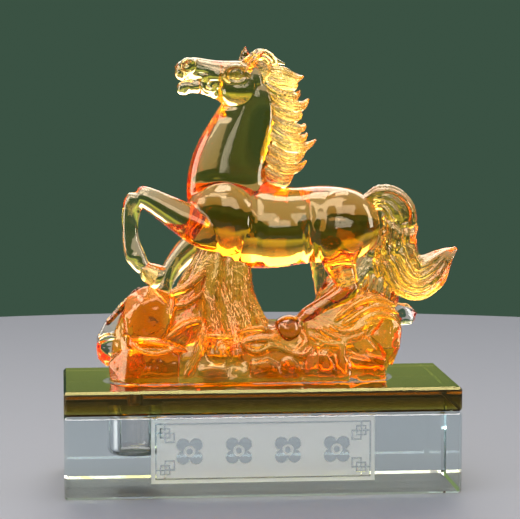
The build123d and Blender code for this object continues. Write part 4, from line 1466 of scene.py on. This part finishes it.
# %% [markdown]
# ### Base: block, plate and the films between them
#
# Optical glue has nearly the index of glass, so a glued face disappears: the block's top, the
# plate's underside and the films are open, except over the well, where there is air. The etched
# panel is the same crystal with its skin ground rough, which turns it pale.

# %% Base glass
WELL_CENTRE = (-0.038, 0.0135)
WELL_RADIUS = 0.0086
NECK_RADIUS = 0.00245


def over_well(tree, place, radius):
    """1 within a radius of the well's axis."""
    squares = [
        math_node(tree, "POWER", math_node(tree, "SUBTRACT", axis, middle), 2.0)
        for axis, middle in zip(place, WELL_CENTRE)
    ]
    return math_node(tree, "LESS_THAN", math_node(tree, "ADD", *squares), radius**2)


# Clear crystal block.
glass_block, block_tree, block_shader = new_material("clear_crystal")
dial(block_shader, IOR=IOR_CRYSTAL, Transmission_Weight=1.0)
block_place = object_place(block_tree)
block_alpha = math_node(block_tree, "LESS_THAN", block_place[2], block_top - 0.01 * MM)
block_tree.links.new(block_alpha, block_shader.inputs["Alpha"])
panel_low, panel_high = (-0.0341, 0.0046), (0.0333, 0.0241)
inside = []
for axis, low, high in (
    (block_place[0], panel_low[0], panel_high[0]), (block_place[2], panel_low[1], panel_high[1]),
):
    inside.append(math_node(block_tree, "GREATER_THAN", axis, low))
    inside.append(math_node(block_tree, "LESS_THAN", axis, high))
inside.append(math_node(block_tree, "GREATER_THAN", block_place[1], block_front + 0.1 * MM))
inside.append(math_node(block_tree, "LESS_THAN", block_place[1], block_front + 0.2 * MM))
etched = inside[0]
for term in inside[1:]:
    etched = math_node(block_tree, "MULTIPLY", etched, term)
block_tree.links.new(stretch(block_tree, etched, 0.5, 0.015), block_shader.inputs["Roughness"])
block_tree.links.new(etched, block_shader.inputs["Coat Weight"])
dial(block_shader, Coat_Roughness=0.8, Coat_IOR=3.0)
grain = object_noise(block_tree, Scale=5200.0)
grain_bump = block_tree.nodes.new("ShaderNodeBump")
grain_bump.inputs["Distance"].default_value = 0.05 * MM
block_tree.links.new(grain.outputs["Fac"], grain_bump.inputs["Height"])
block_tree.links.new(math_node(block_tree, "MULTIPLY", etched, 0.6), grain_bump.inputs["Strength"])
block_tree.links.new(grain_bump.outputs["Normal"], block_shader.inputs["Normal"])
absorb(block_tree, (0.50, 0.86, 0.93), 7.0)

# Amber plate.
glass_plate, plate_tree, plate_shader = new_material("amber_plate_glass")
dial(plate_shader, IOR=IOR_CRYSTAL, Transmission_Weight=1.0)
dial(plate_shader, Specular_Tint=(1.0, 0.92, 0.35, 1.0))
plate_place = object_place(plate_tree)
plate_under = math_node(plate_tree, "LESS_THAN", plate_place[2], block_top + 0.15 * MM)
plate_well = over_well(plate_tree, plate_place, WELL_RADIUS)
plate_glued = math_node(plate_tree, "SUBTRACT", plate_under, plate_well, clamp=True)
plate_upper = math_node(plate_tree, "GREATER_THAN", plate_place[2], plate_top - 0.05 * MM)
plate_foot = use_group(plate_tree, foot_group)
# The neck's bore is given a ground wall, which scatters the light that falls into it.
plate_bore = over_well(plate_tree, plate_place, NECK_RADIUS + 0.1 * MM)
plate_tree.links.new(stretch(plate_tree, plate_bore, 0.5, 0.02), plate_shader.inputs["Roughness"])
plate_cast = math_node(plate_tree, "MULTIPLY", plate_upper, plate_foot.outputs["Mask"])
plate_open = math_node(plate_tree, "ADD", plate_glued, plate_cast, clamp=True)
plate_tree.links.new(
    math_node(plate_tree, "SUBTRACT", 1.0, plate_open), plate_shader.inputs["Alpha"],
)
absorb(plate_tree, (0.80, 0.715, 0.01), 270.0)

# The films of glue: nothing to see in the joint itself.
glass_film, _, film_shader = new_material("adhesive")
dial(film_shader, IOR=IOR_CRYSTAL, Transmission_Weight=1.0, Roughness=0.05, Alpha=0.0)

# %% [markdown]
# ### Stopper
#
# The cap is gold-coloured metal, turned and knurled; the plug is cloudy plastic and the gasket
# is soft silicone. A fine noise in the cap's roughness keeps its metal from looking perfect.

# %% Stopper materials
gold, gold_tree, gold_shader = new_material("gold_cap")
dial(gold_shader, Metallic=1.0, Base_Color=(0.83, 0.58, 0.22, 1.0))
turning = object_noise(gold_tree, Scale=900.0)
gold_rough = stretch(gold_tree, turning.outputs["Fac"], 0.14, 0.2)
gold_tree.links.new(gold_rough, gold_shader.inputs["Roughness"])

plastic, plastic_tree, plastic_shader = new_material("stopper_plastic")
dial(plastic_shader, Base_Color=(0.93, 0.93, 0.90, 1.0), Roughness=0.3)
dial(plastic_shader, IOR=1.48, Transmission_Weight=0.75)
plastic_polish = use_group(plastic_tree, polish_group, Ripple_Scale=700.0, Ripple_Depth=0.15)
plastic_tree.links.new(plastic_polish.outputs["Normal"], plastic_shader.inputs["Normal"])

rubber, rubber_tree, rubber_shader = new_material("gasket")
dial(rubber_shader, Base_Color=(0.78, 0.78, 0.74, 1.0))
dial(rubber_shader, Subsurface_Weight=0.2, Subsurface_Scale=0.5 * MM)
rubber_grain = use_group(rubber_tree, polish_group, Ripple_Scale=2500.0, Ripple_Depth=0.2)
rubber_tree.links.new(rubber_grain.outputs["Normal"], rubber_shader.inputs["Normal"])
rubber_rough = stretch(rubber_tree, rubber_grain.outputs["Height"], 0.2, 0.45)
rubber_tree.links.new(rubber_rough, rubber_shader.inputs["Roughness"])

# %% Give every piece its material
SPECIAL_GLASS = {
    "horse_body": glass_horse, "chest_strands": glass_spray, "plinth_skin": glass_foot,
    "rock_left_back_skin": glass_pale_rock, "rock_right_tip_skin": glass_pale_rock,
}


def dress(item, material):
    """Give a piece one material."""
    item.data.materials.clear()
    item.data.materials.append(material)


for node_name, material in (
    ("base_block", glass_block), ("amber_plate", glass_plate), ("plate_bond", glass_film),
    ("casting_bond", glass_film), ("stopper_cap", gold), ("stopper_plug", plastic),
    ("stopper_gasket", rubber),
):
    dress(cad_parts[node_name], material)
for piece_name, item in casting.items():
    usual = glass_rock if piece_name in rock_pieces else glass_strand
    dress(item, SPECIAL_GLASS.get(piece_name, usual))
print("dressed", len(casting), "cast pieces")

# %% [markdown]
# ## Joining the frame
#
# Every cast piece moves with the base, and the CAD's pieces that it stands for are hidden.

# %% Ride and replace
STANDS_FOR = {
    "horse_body": (
        "horse_trunk", "horse_neck", "horse_head", "foreleg_near", "foreleg_far",
        "hindleg_near", "hindleg_far",
    ),
    "mane_hair": ("mane",), "forelock_hair": ("forelock",), "ear_near_skin": ("ear_near",),
    "ear_far_skin": ("ear_far",), "tail_hair": ("tail",), "chest_strands": ("spray",),
    "plinth_skin": ("rock_plinth",), "rock_left_skin": ("rock_left",),
    "rock_mid_left_skin": ("rock_mid_left",), "rock_mid_skin": ("rock_mid",),
    "rock_right_skin": ("rock_right",), "rock_left_back_skin": ("rock_left_back",),
    "rock_right_tip_skin": ("rock_right_tip",),
}
for piece_name, item in casting.items():
    pick(item)
    bpy.ops.object.shade_smooth()
    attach(item, "casting_and_base")
    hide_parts(*STANDS_FOR[piece_name])
print("pieces", len(casting))
